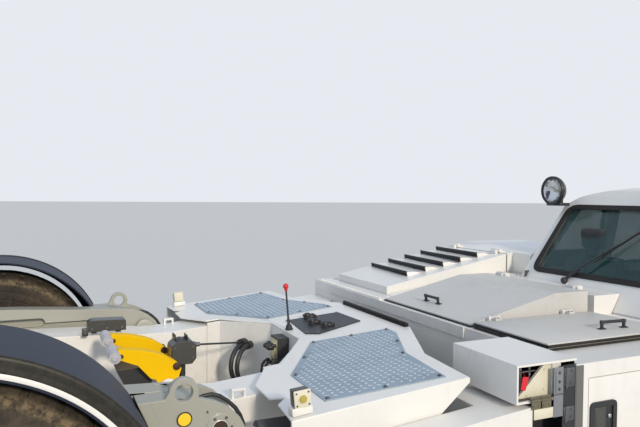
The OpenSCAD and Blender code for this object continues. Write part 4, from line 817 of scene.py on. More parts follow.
# valve block in the pit: silvery body with black solenoids, and a hose under each
valves = {"rows": (-0.026, 0.020), "radius": 0.007,
          "hose": [(-1.030, 0, 0.676), (-1.044, 0, 0.672), (-1.056, 0.004, 0.652), (-1.058, 0.010, 0.610),
                   (-1.050, 0.014, 0.560), (-1.042, 0.014, 0.480), (-1.040, 0.014, 0.306)]}


def makeValveBlock(v):
    bm = bmesh.new()
    addBlock(bm, (-1.003, -0.048, 0.655), (-0.999, 0.040, 0.790), 0.001)
    addBlock(bm, (-1.012, -0.035, 0.690), (-1.001, 0.030, 0.775), 0.003)
    addBlock(bm, (-1.018, -0.030, 0.668), (-1.001, -0.002, 0.684), 0.002)
    addBlock(bm, (-1.018, 0.006, 0.668), (-1.001, 0.034, 0.684), 0.002)
    addPiece("valveBody", bm, "zincPlate", "root")
    bm = bmesh.new()
    for row in v["rows"]:
        addTurned(bm, [(0.015, 0), (0.015, 0.030), (0.011, 0.033), (0.011, 0.036), (0.006, 0.040), (0, 0.040)],
                  at(-1.012, row, 0.752, -90, "Y"), steps=24)
        addPipe(bm, [(x, row + y, z) for x, y, z in v["hose"]], v["radius"])
        addTurned(bm, [(0.010, 0), (0.010, 0.018), (0.008, 0.020), (0, 0.020)],
                  at(-1.016, row, 0.676, -90, "Y"), steps=6)
    addPiece("valveSolenoids", bm, "blackPlastic", "root")


makeValveBlock(valves)
print("cradle")

# swing arms: sign disc with its dark rim, pivot's cap and boss, bolts, and the heel towards the mudguard
armTrim = {"sign": (-1.673, 0.790), "hub": spots["rearAxle"], "nipple": (-0.045, 0.062),
           "heel": [(-1.826, 0.8605), (-1.7990, 0.800), (-1.7745, 0.742), (-1.7600, 0.690), (-1.7480, 0.642),
                    (-1.690, 0.642), (-1.728, 0.742), (-1.773, 0.8605)],
           "heelAcross": (0.884, 0.9826)}


def makeArmTrim(side):
    t = armTrim
    arm = "arm_" + bodySide[side]
    sign, pivot, hub = [wheelPlace(spot, side) for spot in (t["sign"], spots["armPivot"], t["hub"])]
    bm = bmesh.new()
    addTurned(bm, [(0, 0.9862), (0.0215, 0.9862), (0.0215, 0.9872), (0, 0.9872)], sign, steps=40)
    addPiece("signDisc" + sideNames[side], bm, "signYellow", arm)
    bm = bmesh.new()
    addTurned(bm, [(0.0215, 0.985), (0.0260, 0.985), (0.0258, 0.9875), (0.0215, 0.9876)], sign, steps=40,
              closed=True)
    addPiece("signRim" + sideNames[side], bm, "blackPlastic", arm)
    bm = bmesh.new()
    addTurned(bm, [(0, 0.9865), (0.018, 0.9868), (0.0265, 0.9862), (0.028, 0.984)], pivot, steps=32)
    addPiece("pivotCap" + sideNames[side], bm, "pinBrown", "root")
    bm = bmesh.new()
    addTurned(bm, [(0, 0.7335), (0.024, 0.7335), (0.026, 0.7318), (0.044, 0.7318), (0.0510, 0.7350),
                   (0.0515, 0.7400), (0.0515, 0.768)], pivot, steps=40)
    addPiece("pivotBoss" + sideNames[side], bm, "armGrey", "root")
    bm = bmesh.new()
    addBoltCircle(bm, pivot, 6, 0.0395, 0.9872, 0.0038)
    addRod(bm, (*t["nipple"], 0.982), (*t["nipple"], 0.991), 0.004, 0.0025, 12, pivot)
    addBoltCircle(bm, hub, 8, 0.088, 0.902, 0.008)
    addPiece("armBolts" + sideNames[side], bm, "screwSteel", arm)
    # the head's plates run on to the mudguard
    bm = bmesh.new()
    low, high = sorted(side * y for y in t["heelAcross"])
    addSlab(bm, t["heel"], low, high)
    addPiece("armHeel" + sideNames[side], bm, "armGrey", arm, edge=0.003)


# a hydraulic hose on each arm, over the pivot and down to the eye of the lift rod
armHose = {"path": [(-1.640, 0.782), (-1.610, 0.806), (-1.580, 0.820), (-1.550, 0.823), (-1.520, 0.812),
                    (-1.490, 0.790), (-1.462, 0.762), (-1.444, 0.732), (-1.432, 0.700), (-1.428, 0.660)],
           "y": 0.862, "radius": 0.008, "fittings": ((-1.640, 0.782, 50), (-1.428, 0.664, 180))}


def makeArmHose(side):
    h = armHose
    y = side * h["y"]
    bm = bmesh.new()
    addPipe(bm, [(x, y, z) for x, z in h["path"]], h["radius"], sides=12)
    for x, z, turn in h["fittings"]:
        addTurned(bm, [(0, 0), (0.0125, 0), (0.0125, 0.022), (0.010, 0.026), (0, 0.026)],
                  at(x, y, z, turn, "Y"), steps=6)
    addPiece("pivotHose" + sideNames[side], bm, "blackPlastic", "arm_" + bodySide[side])


for side in (-1, 1):
    makeArmTrim(side)
    makeArmHose(side)
print("swing arms")

# body top: black handles, gaskets and louvre fins
handles = {"mid": {"place": at(-0.055, -0.060, 0.930, -13, "Y"), "body": "mid_lid", "half": 0.060},
           "near": {"place": at(0.355, -0.945, 0.9243, 85.5), "body": "near_lid", "half": 0.066}}


def makeHandle(name, h):
    half = h["half"]
    bm = bmesh.new()
    rise = [(0, -half, z) for z in (-0.002, 0.012, 0.024)]
    rise += [(0, 0.003 - half, 0.031), (0, 0.010 - half, 0.033)]
    path = rise + [(0, y, 0.033) for y in (-half / 2, 0, half / 2)] + [(x, -y, z) for x, y, z in reversed(rise)]
    addPipe(bm, [h["place"] @ Vector(p) for p in path], 0.0078, sides=14)
    for y in (-half, half):
        addBlock(bm, (-0.011, y - 0.020, -0.003), (0.011, y + 0.020, 0.004), 0.0025, h["place"])
        for dy in (-0.014, 0.014):
            addBolt(bm, h["place"] @ at(0, y + dy, 0.004), 0.0028, sides=12)
        addBlock(bm, (-0.0075, y - 0.0085, 0.024), (0.0075, y + 0.0085, 0.0415), 0.003, h["place"])
    addPiece(name + "Handle", bm, "blackPlastic", h["body"])


for name, h in handles.items():
    makeHandle(name, h)

# near lid: a folded sheet lid on two hinges, its near edge just past the opening, as the photo shows
nearLid = {"low": (-0.165, -1.066, 0.8923), "high": (0.605, -0.576, 0.9243), "hinges": (-0.035, 0.455),
           "pin": (-0.566, 0.932)}


def makeNearLid(l):
    bm = bmesh.new()
    addBlock(bm, l["low"], l["high"], 0.0035)
    y, z = l["pin"]
    for x in l["hinges"]:
        addRod(bm, (x - 0.0227, y, z), (x + 0.0227, y, z), 0.010)
        addBlock(bm, (x - 0.020, y - 0.040, 0.9205), (x + 0.020, y - 0.004, 0.9345), 0.0025)
    lid = addPiece("nearLid", bm, "hatchCoatAndShade", "near_lid")
    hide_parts("near_hatch")
    bm = bmesh.new()
    for x in l["hinges"]:
        for dx in (-0.012, 0.012):
            addBolt(bm, at(x + dx, y - 0.024, 0.9345), 0.0035, sides=12)
    addPiece("nearLidScrews", bm, "screwSteel", "near_lid")


makeNearLid(nearLid)

seals = {"mid": {"x": (-0.165, 0.625), "y": (-0.550, 0.285)},
         "near": {"x": (-0.165, 0.605), "y": (-1.066, -0.576)}}


def makeSeals(s):
    # thin gasket round the mid hatch, on the body
    (x0, x1), (y0, y1) = s["mid"]["x"], s["mid"]["y"]
    bm = bmesh.new()
    outline = rounded(rectangle(x0 - 0.007, y0 - 0.007, x1 - 0.004, y1 + 0.006), 0.006, 2)
    addFrame(bm, outline, 0.0065, 0.0075, at(0, 0, 0.8922))
    addPiece("midSeal", bm, "sealRubber", "root")
    # double gasket on three sides of the near lid
    (x0, x1), (y0, y1) = s["near"]["x"], s["near"]["y"]
    bm = bmesh.new()
    for low, high, out in ((0.8945, 0.9035, 0.010), (0.9055, 0.9185, 0.006)):
        addBlock(bm, (x0 - out, y0 - out, low), (x0 + 0.001, y1 - 0.002, high), 0.003)
        addBlock(bm, (x0 - out, y0 - out, low), (x1 + out * 0.5, y0 + 0.001, high), 0.003)
        addBlock(bm, (x1 - 0.001, y0 - out, low), (x1 + out * 0.5, y1 - 0.002, high), 0.003)
    addPiece("nearSeal", bm, "sealRubber", "near_lid", sharp=60)


makeSeals(seals)

louvres = {"x": 0.158, "pitch": 0.147, "y": 0.554, "skew": -3.97, "slope": 10.633, "count": 5, "long": 0.558,
           "hoodFoot": (-0.070, 0.952), "hoodRise": 0.184 / 0.98, "bars": 3, "barPitch": 0.008}


def makeLouvreFins(l):
    bm = bmesh.new()
    footX, footZ = l["hoodFoot"]
    for i in range(l["count"]):
        x = l["x"] + i * l["pitch"]
        z = footZ + (x - footX) * l["hoodRise"]
        place = at(x, l["y"], z, l["skew"]) @ Matrix.Rotation(math.radians(-l["slope"]), 4, "Y")
        # mesh frame behind the scoop's mouth and the dark lip on its edge
        addBlock(bm, (0.0035, 0.0035, 0.001), (0.0065, l["long"] - 0.0035, 0.0275), 0.0008, place)
        for k in range(l["bars"]):
            bar = 0.004 + k * l["barPitch"]
            addBlock(bm, (-0.001, 0.004, bar), (0.005, l["long"] - 0.004, bar + 0.0025), 0.0008, place)
        addBlock(bm, (-0.0035, -0.002, 0.0275), (0.0060, l["long"] + 0.002, 0.0355), 0.002, place)
        addBlock(bm, (-0.002, -0.002, 0.000), (0.004, 0.0045, 0.031), 0.001, place)
        addBlock(bm, (-0.002, l["long"] - 0.0045, 0.000), (0.004, l["long"] + 0.002, 0.031), 0.001, place)
    addPiece("louvreFins", bm, "blackPlastic", "hood", sharp=50)


makeLouvreFins(louvres)


# bolted sheets over the gaps beside the cab: one between the raised panel, the fender and the nose,
# and one behind the raised panel
coverSheets = {"fender": {"low": (1.6600, 0.2490, 0.9895), "high": (2.0950, 0.6450, 0.9945),
                          "bolts": ((2.083, 0.290), (2.083, 0.440), (2.083, 0.600), (1.950, 0.633),
                                    (1.820, 0.633), (1.690, 0.633))},
               "plinth": {"low": (0.8660, 0.2580, 0.9995), "high": (0.9400, 0.4150, 1.0035),
                          "bolts": ((0.874, 0.285), (0.874, 0.390))}}


def makeCoverSheets(c):
    bm = bmesh.new()
    for sheet in c.values():
        addBlock(bm, sheet["low"], sheet["high"], 0.0012)
    addPiece("coverSheets", bm, "whitePaint", "root")
    bm = bmesh.new()
    for sheet in c.values():
        for x, y in sheet["bolts"]:
            addBolt(bm, at(x, y, sheet["high"][2] - 0.0003), 0.0045)
    addPiece("coverBolts", bm, "screwSteel", "root")


makeCoverSheets(coverSheets)

# corner box: dark linings that are partly painted shade, cream bracket, olive hinge, grey plate, hinge blocks,
# pipes and tag, and a strip of painted shade on the side panel's edge
corner = {"mouth": -1.2855, "box": ((-0.518, -1.276, 0.789), (-0.237, -0.910, 0.916)),
          "notch": ((-0.4475, -1.2845, 0.5625), (-0.2365, -1.190, 0.7780)),
          "bracket": [(-0.5060, 0.7880), (-0.3000, 0.7880), (-0.3000, 0.9120), (-0.3680, 0.9120)]}


def makeCornerBox(c):
    y = c["mouth"]
    bm = bmesh.new()
    # black lining: the box's black inside, and painted shade in the recess under the box and in the gap beside
    # the plate
    addShell(bm, *c["box"], ((0, -1, 0),), 0.002)
    addShell(bm, *c["notch"], ((0, -1, 0),), 0.002)
    addBlock(bm, (-0.3050, y - 0.0010, 0.5650), (-0.2430, y + 0.001, 0.9050))
    addPiece("cornerLiningAndShade", bm, "blackPlastic", "root", flat=True)
    bm = bmesh.new()
    addSlab(bm, c["bracket"], -1.2580, -1.2555)
    addBlock(bm, (-0.4450, y - 0.0020, 0.7140), (-0.3515, y + 0.001, 0.7530), 0.0006)
    for x, z in ((-0.372, 0.815), (-0.372, 0.890), (-0.455, 0.800)):
        addBolt(bm, at(x, -1.2580, z, 90, "X"), 0.004)
    addPiece("cornerBracket", bm, "creamPlastic", "root", edge=0.0005)
    bm = bmesh.new()
    addBlock(bm, (-0.3511, y - 0.0035, 0.7120), (-0.3044, y - 0.0005, 0.9010), 0.001)
    addBlock(bm, (-0.3440, y - 0.0065, 0.8050), (-0.3100, y - 0.0030, 0.8900), 0.002)
    addPiece("cornerPlate", bm, "plateGrey", "root")
    bm = bmesh.new()
    for z in (0.818, 0.846, 0.880):
        addBolt(bm, at(-0.327, y - 0.0065, z, 90, "X"), 0.0045)
    addBlock(bm, (-0.3511, y - 0.0045, 0.7950), (-0.3044, y - 0.0030, 0.8000), 0.0005)
    for z0, z1 in ((0.820, 0.893), (0.690, 0.745)):
        addBlock(bm, (-0.2990, y - 0.0030, z0), (-0.2450, y - 0.0005, z1), 0.001)
        addRod(bm, (-0.290, y - 0.0040, z0 - 0.004), (-0.290, y - 0.0040, z1 + 0.004), 0.0045, sides=14)
        for dz in (0.012, z1 - z0 - 0.012):
            addBolt(bm, at(-0.262, y - 0.0030, z0 + dz, 90, "X"), 0.0035)
    for x, r in ((-0.500, 0.005), (-0.470, 0.007), (-0.425, 0.005)):
        addPipe(bm, [(x, -1.235, 0.789), (x, -1.235, 0.830), (x + 0.006, -1.230, 0.870),
                     (x + 0.010, -1.225, 0.914)], r)
        addTurned(bm, [(r + 0.003, 0), (r + 0.003, 0.012), (r, 0.013)], at(x, -1.235, 0.800), steps=6)
    addRod(bm, (-0.516, -1.240, 0.884), (-0.400, -1.240, 0.884), 0.004, sides=12)
    addPiece("cornerPipes", bm, "screwSteel", "root")
    bm = bmesh.new()
    addSlab(bm, rounded([(-0.490, 0.826), (-0.467, 0.820), (-0.450, 0.870), (-0.480, 0.874)], 0.004, 3),
            -1.2640, -1.2615)
    addRod(bm, (-0.466, -1.2625, 0.868), (-0.462, -1.2440, 0.884), 0.0012, sides=8)
    addPiece("cornerTag", bm, "markerRed", "root")
    bm = bmesh.new()
    for x0, x1 in ((-0.4630, -0.4150), (-0.4130, -0.3640)):
        addBlock(bm, (x0, y - 0.0030, 0.7900), (x1, y - 0.0005, 0.8030), 0.001)
        addBlock(bm, (x0 + 0.004, y - 0.0045, 0.7540), (x1, y - 0.0020, 0.7860), 0.001)
        addRod(bm, (x0, y - 0.0050, 0.7880), (x1, y - 0.0050, 0.7880), 0.0055, sides=16)
        for dx in (0.012, x1 - x0 - 0.012):
            addBolt(bm, at(x0 + dx, y - 0.0045, 0.766, 90, "X"), 0.0032)
    addRod(bm, (-0.4700, y - 0.0050, 0.7880), (-0.3600, y - 0.0050, 0.7880), 0.0028, sides=12)
    addPiece("cornerHinge", bm, "housingOlive", "root")
    # dark grey strip on the edge of the side panel: painted shade standing for the shaded return flange of the
    # white panel
    bm = bmesh.new()
    addBlock(bm, (-0.2425, y - 0.0040, 0.5640), (-0.2000, y + 0.001, 0.8960), 0.0025)
    addBlock(bm, (-0.2390, y - 0.0055, 0.5700), (-0.2290, y - 0.0030, 0.8900), 0.0015)
    addPiece("cornerJambShade", bm, "jambPaintedShade", "root")


makeCornerBox(corner)

# service door: a flat panel with narrow gaps, its hinge sleeves and a stiffener behind
serviceDoor = {"low": (-0.1675, -1.285, 0.3325), "high": (0.3875, -1.267, 0.8375), "pin": (0.398, -1.289),
               "hinges": (0.420, 0.750)}


def makeServiceDoor(d):
    (x0, y0, z0), (x1, y1, z1) = d["low"], d["high"]
    bm = bmesh.new()
    addBlock(bm, d["low"], d["high"], 0.002)
    addBlock(bm, (x0 + 0.040, y1 - 0.001, z0 + 0.040), (x1 - 0.060, y1 + 0.001, z1 - 0.040))
    x, y = d["pin"]
    for z in d["hinges"]:
        addRod(bm, (x, y, z - 0.0227), (x, y, z + 0.0227), 0.008)
        addBlock(bm, (x - 0.038, y0 - 0.0035, z - 0.020), (x - 0.006, y0 + 0.001, z + 0.020), 0.0015)
    panel = addPiece("serviceDoor", bm, "whitePaint", "side_door")
    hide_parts("service_door")
    bm = bmesh.new()
    for z in d["hinges"]:
        for dz in (-0.012, 0.012):
            addBolt(bm, at(x - 0.024, y0 - 0.0035, z + dz, 90, "X"), 0.0035, sides=12)
    addPiece("serviceDoorScrews", bm, "screwSteel", "side_door")


makeServiceDoor(serviceDoor)

# paddle latch on the service door: broad bezel, tray with the paddle, and the lock beside it
latch = {"wide": 0.143, "high": 0.148, "corner": 0.024, "bezel": 0.021}


def makeLatch(place, body):
    l = latch
    w, h, b = l["wide"] / 2, l["high"] / 2, l["bezel"]
    bm = bmesh.new()
    foot = place @ at(0, 0, 0.0003)
    addFrame(bm, rounded(rectangle(-w, -h, w, h), l["corner"]), b, 0.0075, foot)
    addPrism(bm, rounded(rectangle(0.010 - w, 0.010 - h, w - 0.010, h - 0.010), 0.016), 0.0012, foot)
    addPiece("doorLatch", bm, "blackPlastic", body, edge=0.0012)
    bm = bmesh.new()
    addBlock(bm, (-w + b + 0.002, -h + b + 0.002, 0.001), (0.012, h - b - 0.002, 0.0048), 0.002, place)
    addBlock(bm, (-w + b + 0.008, -h + b + 0.010, 0.004), (-0.006, h - b - 0.012, 0.0062), 0.0015, place)
    addPiece("doorPaddle", bm, "boxGrey", body)
    bm = bmesh.new()
    addTurned(bm, [(0, 0.0095), (0.0065, 0.0095), (0.0085, 0.008), (0.0085, 0.001)],
              place @ at(0.032, 0.012, 0), steps=24)
    addBlock(bm, (0.0308, 0.0065, 0.009), (0.0332, 0.0175, 0.0102), 0.0004, place)
    addPiece("doorLock", bm, "rodSteel", body)


makeLatch(sideWall(-0.0915, 0.668, -1), "side_door")
print("body details")

# lamps: spotlight, headlamps, turning lamp and tail lamps stand for the lamps node
spotlight = {"place": at(1.0989, 0.180, 1.587, 90, "Y"), "foot": (1.0989, 0.123, 1.508)}


def makeSpotlight(s):
    p = s["place"]
    bm = bmesh.new()
    addTurned(bm, [(0, 0.046), (0.030, 0.0455), (0.058, 0.039), (0.080, 0.024), (0.091, 0.006),
                   (0.0945, -0.010), (0.0945, -0.022), (0.089, -0.022), (0.087, 0.002), (0.076, 0.019),
                   (0.055, 0.033), (0, 0.039)], p, steps=48)
    shell = addPiece("spotHousing", bm, "housingOlive", "root")
    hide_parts("lamps")
    bm = bmesh.new()
    addTurned(bm, [(0.0975, -0.012), (0.0980, -0.028), (0.0950, -0.0325), (0.0880, -0.0335), (0.0835, -0.0290),
                   (0.0835, -0.016), (0.088, -0.012)], p, steps=56, closed=True)
    for i in range(3):
        a = math.tau * (i + 0.25) / 3
        addBlock(bm, (0.0890, -0.009, -0.031), (0.0985, 0.009, -0.006), 0.002, p @ Matrix.Rotation(a, 4, "Z"))
    foot = Vector(s["foot"])
    for dy in (-0.006, 0.112):
        addBlock(bm, (foot.x - 0.014, foot.y + dy, foot.z - 0.005),
                 (foot.x + 0.014, foot.y + dy + 0.004, foot.z + 0.075), 0.001)
    addBlock(bm, (foot.x - 0.014, foot.y - 0.006, foot.z - 0.024),
             (foot.x + 0.074, foot.y + 0.116, foot.z - 0.004), 0.002)
    addRod(bm, (foot.x, foot.y - 0.012, foot.z + 0.070), (foot.x, foot.y - 0.002, foot.z + 0.070), 0.009,
           sides=6)
    addRod(bm, (foot.x, foot.y + 0.112, foot.z + 0.070), (foot.x, foot.y + 0.122, foot.z + 0.070), 0.009,
           sides=6)
    addPiece("spotBezel", bm, "blackPlastic", "root", sharp=40)
    bm = bmesh.new()
    addTurned(bm, [(0.0840, -0.020), (0.0740, -0.002), (0.0600, 0.010), (0.0420, 0.0195), (0.0220, 0.0255),
                   (0.0120, 0.0275)], p, steps=26)
    addPiece("spotReflector", bm, "lampChrome", "root", flat=True)
    bm = bmesh.new()
    addTurned(bm, [(0.012, 0.0275), (0.012, 0.012), (0.009, 0.006), (0.009, -0.004), (0.006, -0.010),
                   (0, -0.011)], p, steps=20)
    addPiece("spotBulb", bm, "creamPlastic", "root")
    bm = bmesh.new()
    addTurned(bm, [(0.0838, -0.0210), (0.0838, -0.0240), (0.060, -0.0275), (0.030, -0.0295), (0, -0.0300)], p,
              steps=48)
    addPiece("spotLens", bm, "lensClear", "root")


makeSpotlight(spotlight)


beacon = {"place": at(1.7552, -0.495, 1.6103), "foot": 0.060, "dome": 0.051}
headlamp = {"x": 2.990, "y": 0.480, "z": 0.640, "bars": 9, "barPitch": 0.012, "barReach": 0.060}
indicator = {"y": 0.590, "half": 0.022, "low": 0.595, "high": 0.685, "ribs": 5, "ribPitch": 0.016}


def makeHeadlamp(side):
    h, name = headlamp, sideNames[side]
    p = at(h["x"], side * h["y"], h["z"], 90, "Y")
    bm = bmesh.new()
    addTurned(bm, [(0.080, 0), (0.080, 0.018), (0.076, 0.024), (0.070, 0.024), (0.067, 0.019), (0.067, 0.001)],
              p, steps=48, closed=True)
    addPiece("headlampBezel" + name, bm, "blackPlastic", "root")
    bm = bmesh.new()
    addTurned(bm, [(0.0672, 0.017), (0.058, 0.009), (0.040, 0.0035), (0.020, 0.0012), (0, 0.001)], p, steps=26)
    addPiece("headlampReflector" + name, bm, "lampChrome", "root", flat=True)
    bm = bmesh.new()
    addTurned(bm, [(0.0672, 0.0175), (0.050, 0.0225), (0.025, 0.0245), (0, 0.025)], p, steps=48)
    for i in range(h["bars"]):
        x = (i - (h["bars"] - 1) / 2) * h["barPitch"]
        reach = math.sqrt(h["barReach"] ** 2 - x * x)
        addBlock(bm, (x - 0.0012, -reach, 0.0155), (x + 0.0012, reach, 0.0200), 0.0005, p)
    addPiece("headlampLens" + name, bm, "lensClear", "root")


def makeIndicator(side):
    n = indicator
    y, half = side * n["y"], n["half"]
    bm = bmesh.new()
    addBlock(bm, (2.989, y - half, n["low"]), (3.006, y + half, n["high"]), 0.006)
    for k in range(n["ribs"]):
        z = n["low"] + 0.008 + k * n["ribPitch"]
        addBlock(bm, (3.004, y - half + 0.004, z), (3.0085, y + half - 0.004, z + 0.008), 0.0015)
    addPiece("indicator" + sideNames[side], bm, "lensAmber", "root")


def makeBeacon(b):
    foot, dome = b["foot"], b["dome"]
    bm = bmesh.new()
    addTurned(bm, [(foot, 0), (foot, 0.010), (foot - 0.004, 0.013), (foot - 0.010, 0.014), (0, 0.014)],
              b["place"], steps=40)
    addPiece("beaconBase", bm, "blackPlastic", "root")
    bm = bmesh.new()
    addTurned(bm, [(dome, 0.0142), (dome, 0.028), (dome - 0.0025, 0.031), (dome - 0.0025, 0.034),
                   (dome - 0.001, 0.037), (0.045, 0.048), (0.032, 0.055), (0, 0.058)], b["place"], steps=40)
    addPiece("beaconDome", bm, "lensAmber", "root")


tailLamp = {"y": 0.630, "half": 0.046, "ribs": 7, "ribPitch": 0.012,
            "glasses": (("Stop", 0.302, 0.336, "lensRed"), ("Turn", 0.264, 0.299, "lensAmber"))}


def makeTailLamp(side):
    t = tailLamp
    y, half = side * t["y"], t["half"]
    bm = bmesh.new()
    addBlock(bm, (-3.0445, y - half - 0.004, 0.260), (-3.0360, y + half + 0.004, 0.340), 0.003)
    addPiece("tailLampBase" + sideNames[side], bm, "blackPlastic", "root")
    for word, low, high, finish in t["glasses"]:
        bm = bmesh.new()
        addBlock(bm, (-3.0500, y - half, low), (-3.0440, y + half, high), 0.0028)
        for k in range(t["ribs"]):
            rib = y - half + 0.006 + k * t["ribPitch"]
            addBlock(bm, (-3.0508, rib, low + 0.004), (-3.0490, rib + 0.006, high - 0.004), 0.0006)
        addPiece("tailLamp" + word + sideNames[side], bm, finish, "root")


for side in (-1, 1):
    makeHeadlamp(side)
    makeIndicator(side)
makeBeacon(beacon)
for side in (-1, 1):
    makeTailLamp(side)
print("lamps")

# cab: seals, lining, wipers, seats
cab = {"middle": -0.495, "rearFoot": (0.815, 0.900), "rake": 0.62, "frontFoot": (2.350, 1.030),
       "frontRake": 0.52, "sides": {1: 0.250, -1: -1.240}, "sill": 1.030, "lean": 0.110 / 0.580,
       "winLow": 1.058, "winHigh": 1.478, "seal": 0.016, "wide": 0.036}


def rearPlane(z):
    # plane on the sloping rear wall: X towards the right side, Y up the slope, Z out
    (x, foot), k = cab["rearFoot"], cab["rake"]
    n = math.hypot(1, k)
    turn = Matrix(((0, k / n, -1 / n), (-1, 0, 0), (0, 1 / n, k / n))).to_4x4()
    return Matrix.Translation((x + (z - foot) * k, cab["middle"], z)) @ turn


def frontPlane(z):
    # plane on the windscreen: X towards the left side, Y up the slope, Z out
    (x, foot), k = cab["frontFoot"], cab["frontRake"]
    n = math.hypot(1, k)
    turn = Matrix(((0, -k / n, 1 / n), (1, 0, 0), (0, 1 / n, k / n))).to_4x4()
    return Matrix.Translation((x - (z - foot) * k, cab["middle"], z)) @ turn


def leanPlane(side, z):
    # plane on a leaning cab side, as seen from outside: X to the right, Y up the slope, Z out
    k = cab["lean"]
    n = math.hypot(1, k)
    turn = Matrix(((-side, 0, 0), (0, -side * k / n, side / n), (0, 1 / n, k / n))).to_4x4()
    return Matrix.Translation((0, cab["sides"][side] - side * (z - cab["sill"]) * k, z)) @ turn


def grownOutline(corners, grow):
    # corners pushed out from their middle by about the same distance each way
    middle = sum((Vector(c) for c in corners), Vector((0, 0))) / len(corners)
    return [tuple(Vector(c) + Vector((grow if c[0] > middle.x else -grow,
                                      grow if c[1] > middle.y else -grow))) for c in corners]


# windows: half widths at foot and head, or corners along the machine with -1 at the foot and 1 at the head
windows = {"rear": (0.670, 0.605), "front": (0.670, 0.560),
           "side": ((1.030, -1), (1.570, -1), (1.570, 1), (1.315, 1)),
           "quarter": ((1.680, -1), (2.230, -1), (2.030, 1), (1.680, 1))}


def makeSeal(name, place, corners, slope, body):
    # a rubber frame round a window
    half = (cab["winHigh"] - cab["winLow"]) / 2 * math.hypot(1, slope)
    outline = rounded(grownOutline([(x, end * half) for x, end in corners], cab["seal"]), 0.085, 7)
    if sum(x0 * y1 - x1 * y0 for (x0, y0), (x1, y1) in zip(outline, outline[1:] + outline[:1])) < 0:
        outline.reverse()
    bm = bmesh.new()
    addFrame(bm, outline, cab["wide"], 0.006, place @ at(0, 0, 0.0002))
    addPiece(name + "Seal", bm, "sealRubber", body, sharp=60, edge=0.002)


def makeWindowSeals(w):
    mid = (cab["winLow"] + cab["winHigh"]) / 2
    for name, place, key, slope in (("rearWindow", rearPlane(mid), "rear", cab["rake"]),
                                    ("windscreen", frontPlane(mid), "front", cab["frontRake"])):
        foot, head = w[key]
        makeSeal(name, place, [(-foot, -1), (foot, -1), (head, 1), (-head, 1)], slope, "root")
    for side, body in ((1, "root"), (-1, "door")):
        for name, key, rides in (("sideWindow", "side", body), ("quarterWindow", "quarter", "root")):
            corners = [(-side * x, end) for x, end in w[key]]
            makeSeal(name + sideNames[side], leanPlane(side, mid), corners, cab["lean"], rides)


makeWindowSeals(windows)


# linings of the cab: rear and left wall, floor mat, roof, and the door's inside with its arm rest; the wall,
# roof and door linings are dark partly as painted shade, so the cab's inside looks dark through the glass
lining = {"rear": [(0.852, 0.42), (0.864, 0.42), (0.864, 0.885), (0.962, 1.043), (0.948, 1.046),
                   (0.852, 0.892)],
          "posts": (1.05, 1.25, 1.45), "matRibs": 30, "matPitch": 0.024, "roofTop": 1.571, "roofThick": 0.009,
          "crown": [(0, 0), (0.190, 0.007), (0.333, 0.022), (0.448, 0.042), (0.534, 0.066), (0.570, 0.085)]}


def makeCabLining(l):
    bm = bmesh.new()
    addSlab(bm, l["rear"], -1.185, 0.195)
    addBlock(bm, (0.870, 0.199, 0.420), (1.620, 0.209, 1.046), 0.003)
    for x in l["posts"]:
        addBlock(bm, (x, 0.193, 0.50), (x + 0.012, 0.201, 0.96), 0.003)
    addPiece("cabLining", bm, "blackPlastic", "root")
    bm = bmesh.new()
    addBlock(bm, (0.870, -1.190, 0.4165), (1.610, 0.190, 0.4230), 0.002)
    for i in range(l["matRibs"]):
        x = 0.890 + i * l["matPitch"]
        addBlock(bm, (x, -1.180, 0.4225), (x + 0.010, 0.180, 0.4255), 0.001)
    addPiece("floorMat", bm, "sealRubber", "root")
    bm = bmesh.new()
    half = [(d, l["roofTop"] - drop) for d, drop in l["crown"]]
    top = [(cab["middle"] + d, z) for d, z in reversed(half)] + [(cab["middle"] - d, z) for d, z in half[1:]]
    outline = top + [(y, z - l["roofThick"]) for y, z in reversed(top)]
    across = Matrix(((0, 0, 1, 0), (1, 0, 0, 0), (0, 1, 0, 0), (0, 0, 0, 1)))
    addPrism(bm, outline, 0.68, Matrix.Translation((1.300, 0, 0)) @ across)
    addPiece("headLining", bm, "linerGrey", "root")
    bm = bmesh.new()
    addBlock(bm, (0.935, -1.2035, 0.465), (1.590, -1.1935, 1.020), 0.004)
    addBlock(bm, (1.080, -1.1945, 0.700), (1.480, -1.1700, 0.740), 0.008)
    addPiece("doorLining", bm, "blackPlastic", "door")


makeCabLining(lining)

# wipers, each an arm with a spring box and a blade with its rubber, lying on a window plane
wipers = {
    "rear": {"place": rearPlane(1.058), "foot": (-0.362, -0.050), "tip": (-0.072, 0.236),
             "blade": ((-0.205, 0.098), (0.062, 0.374))},
    "frontRight": {"place": frontPlane(1.058), "foot": (-0.420, -0.045), "tip": (-0.250, 0.190),
                   "blade": ((-0.420, 0.100), (-0.060, 0.270))},
    "frontLeft": {"place": frontPlane(1.058), "foot": (0.120, -0.045), "tip": (0.290, 0.190),
                  "blade": ((0.120, 0.100), (0.470, 0.270))},
}


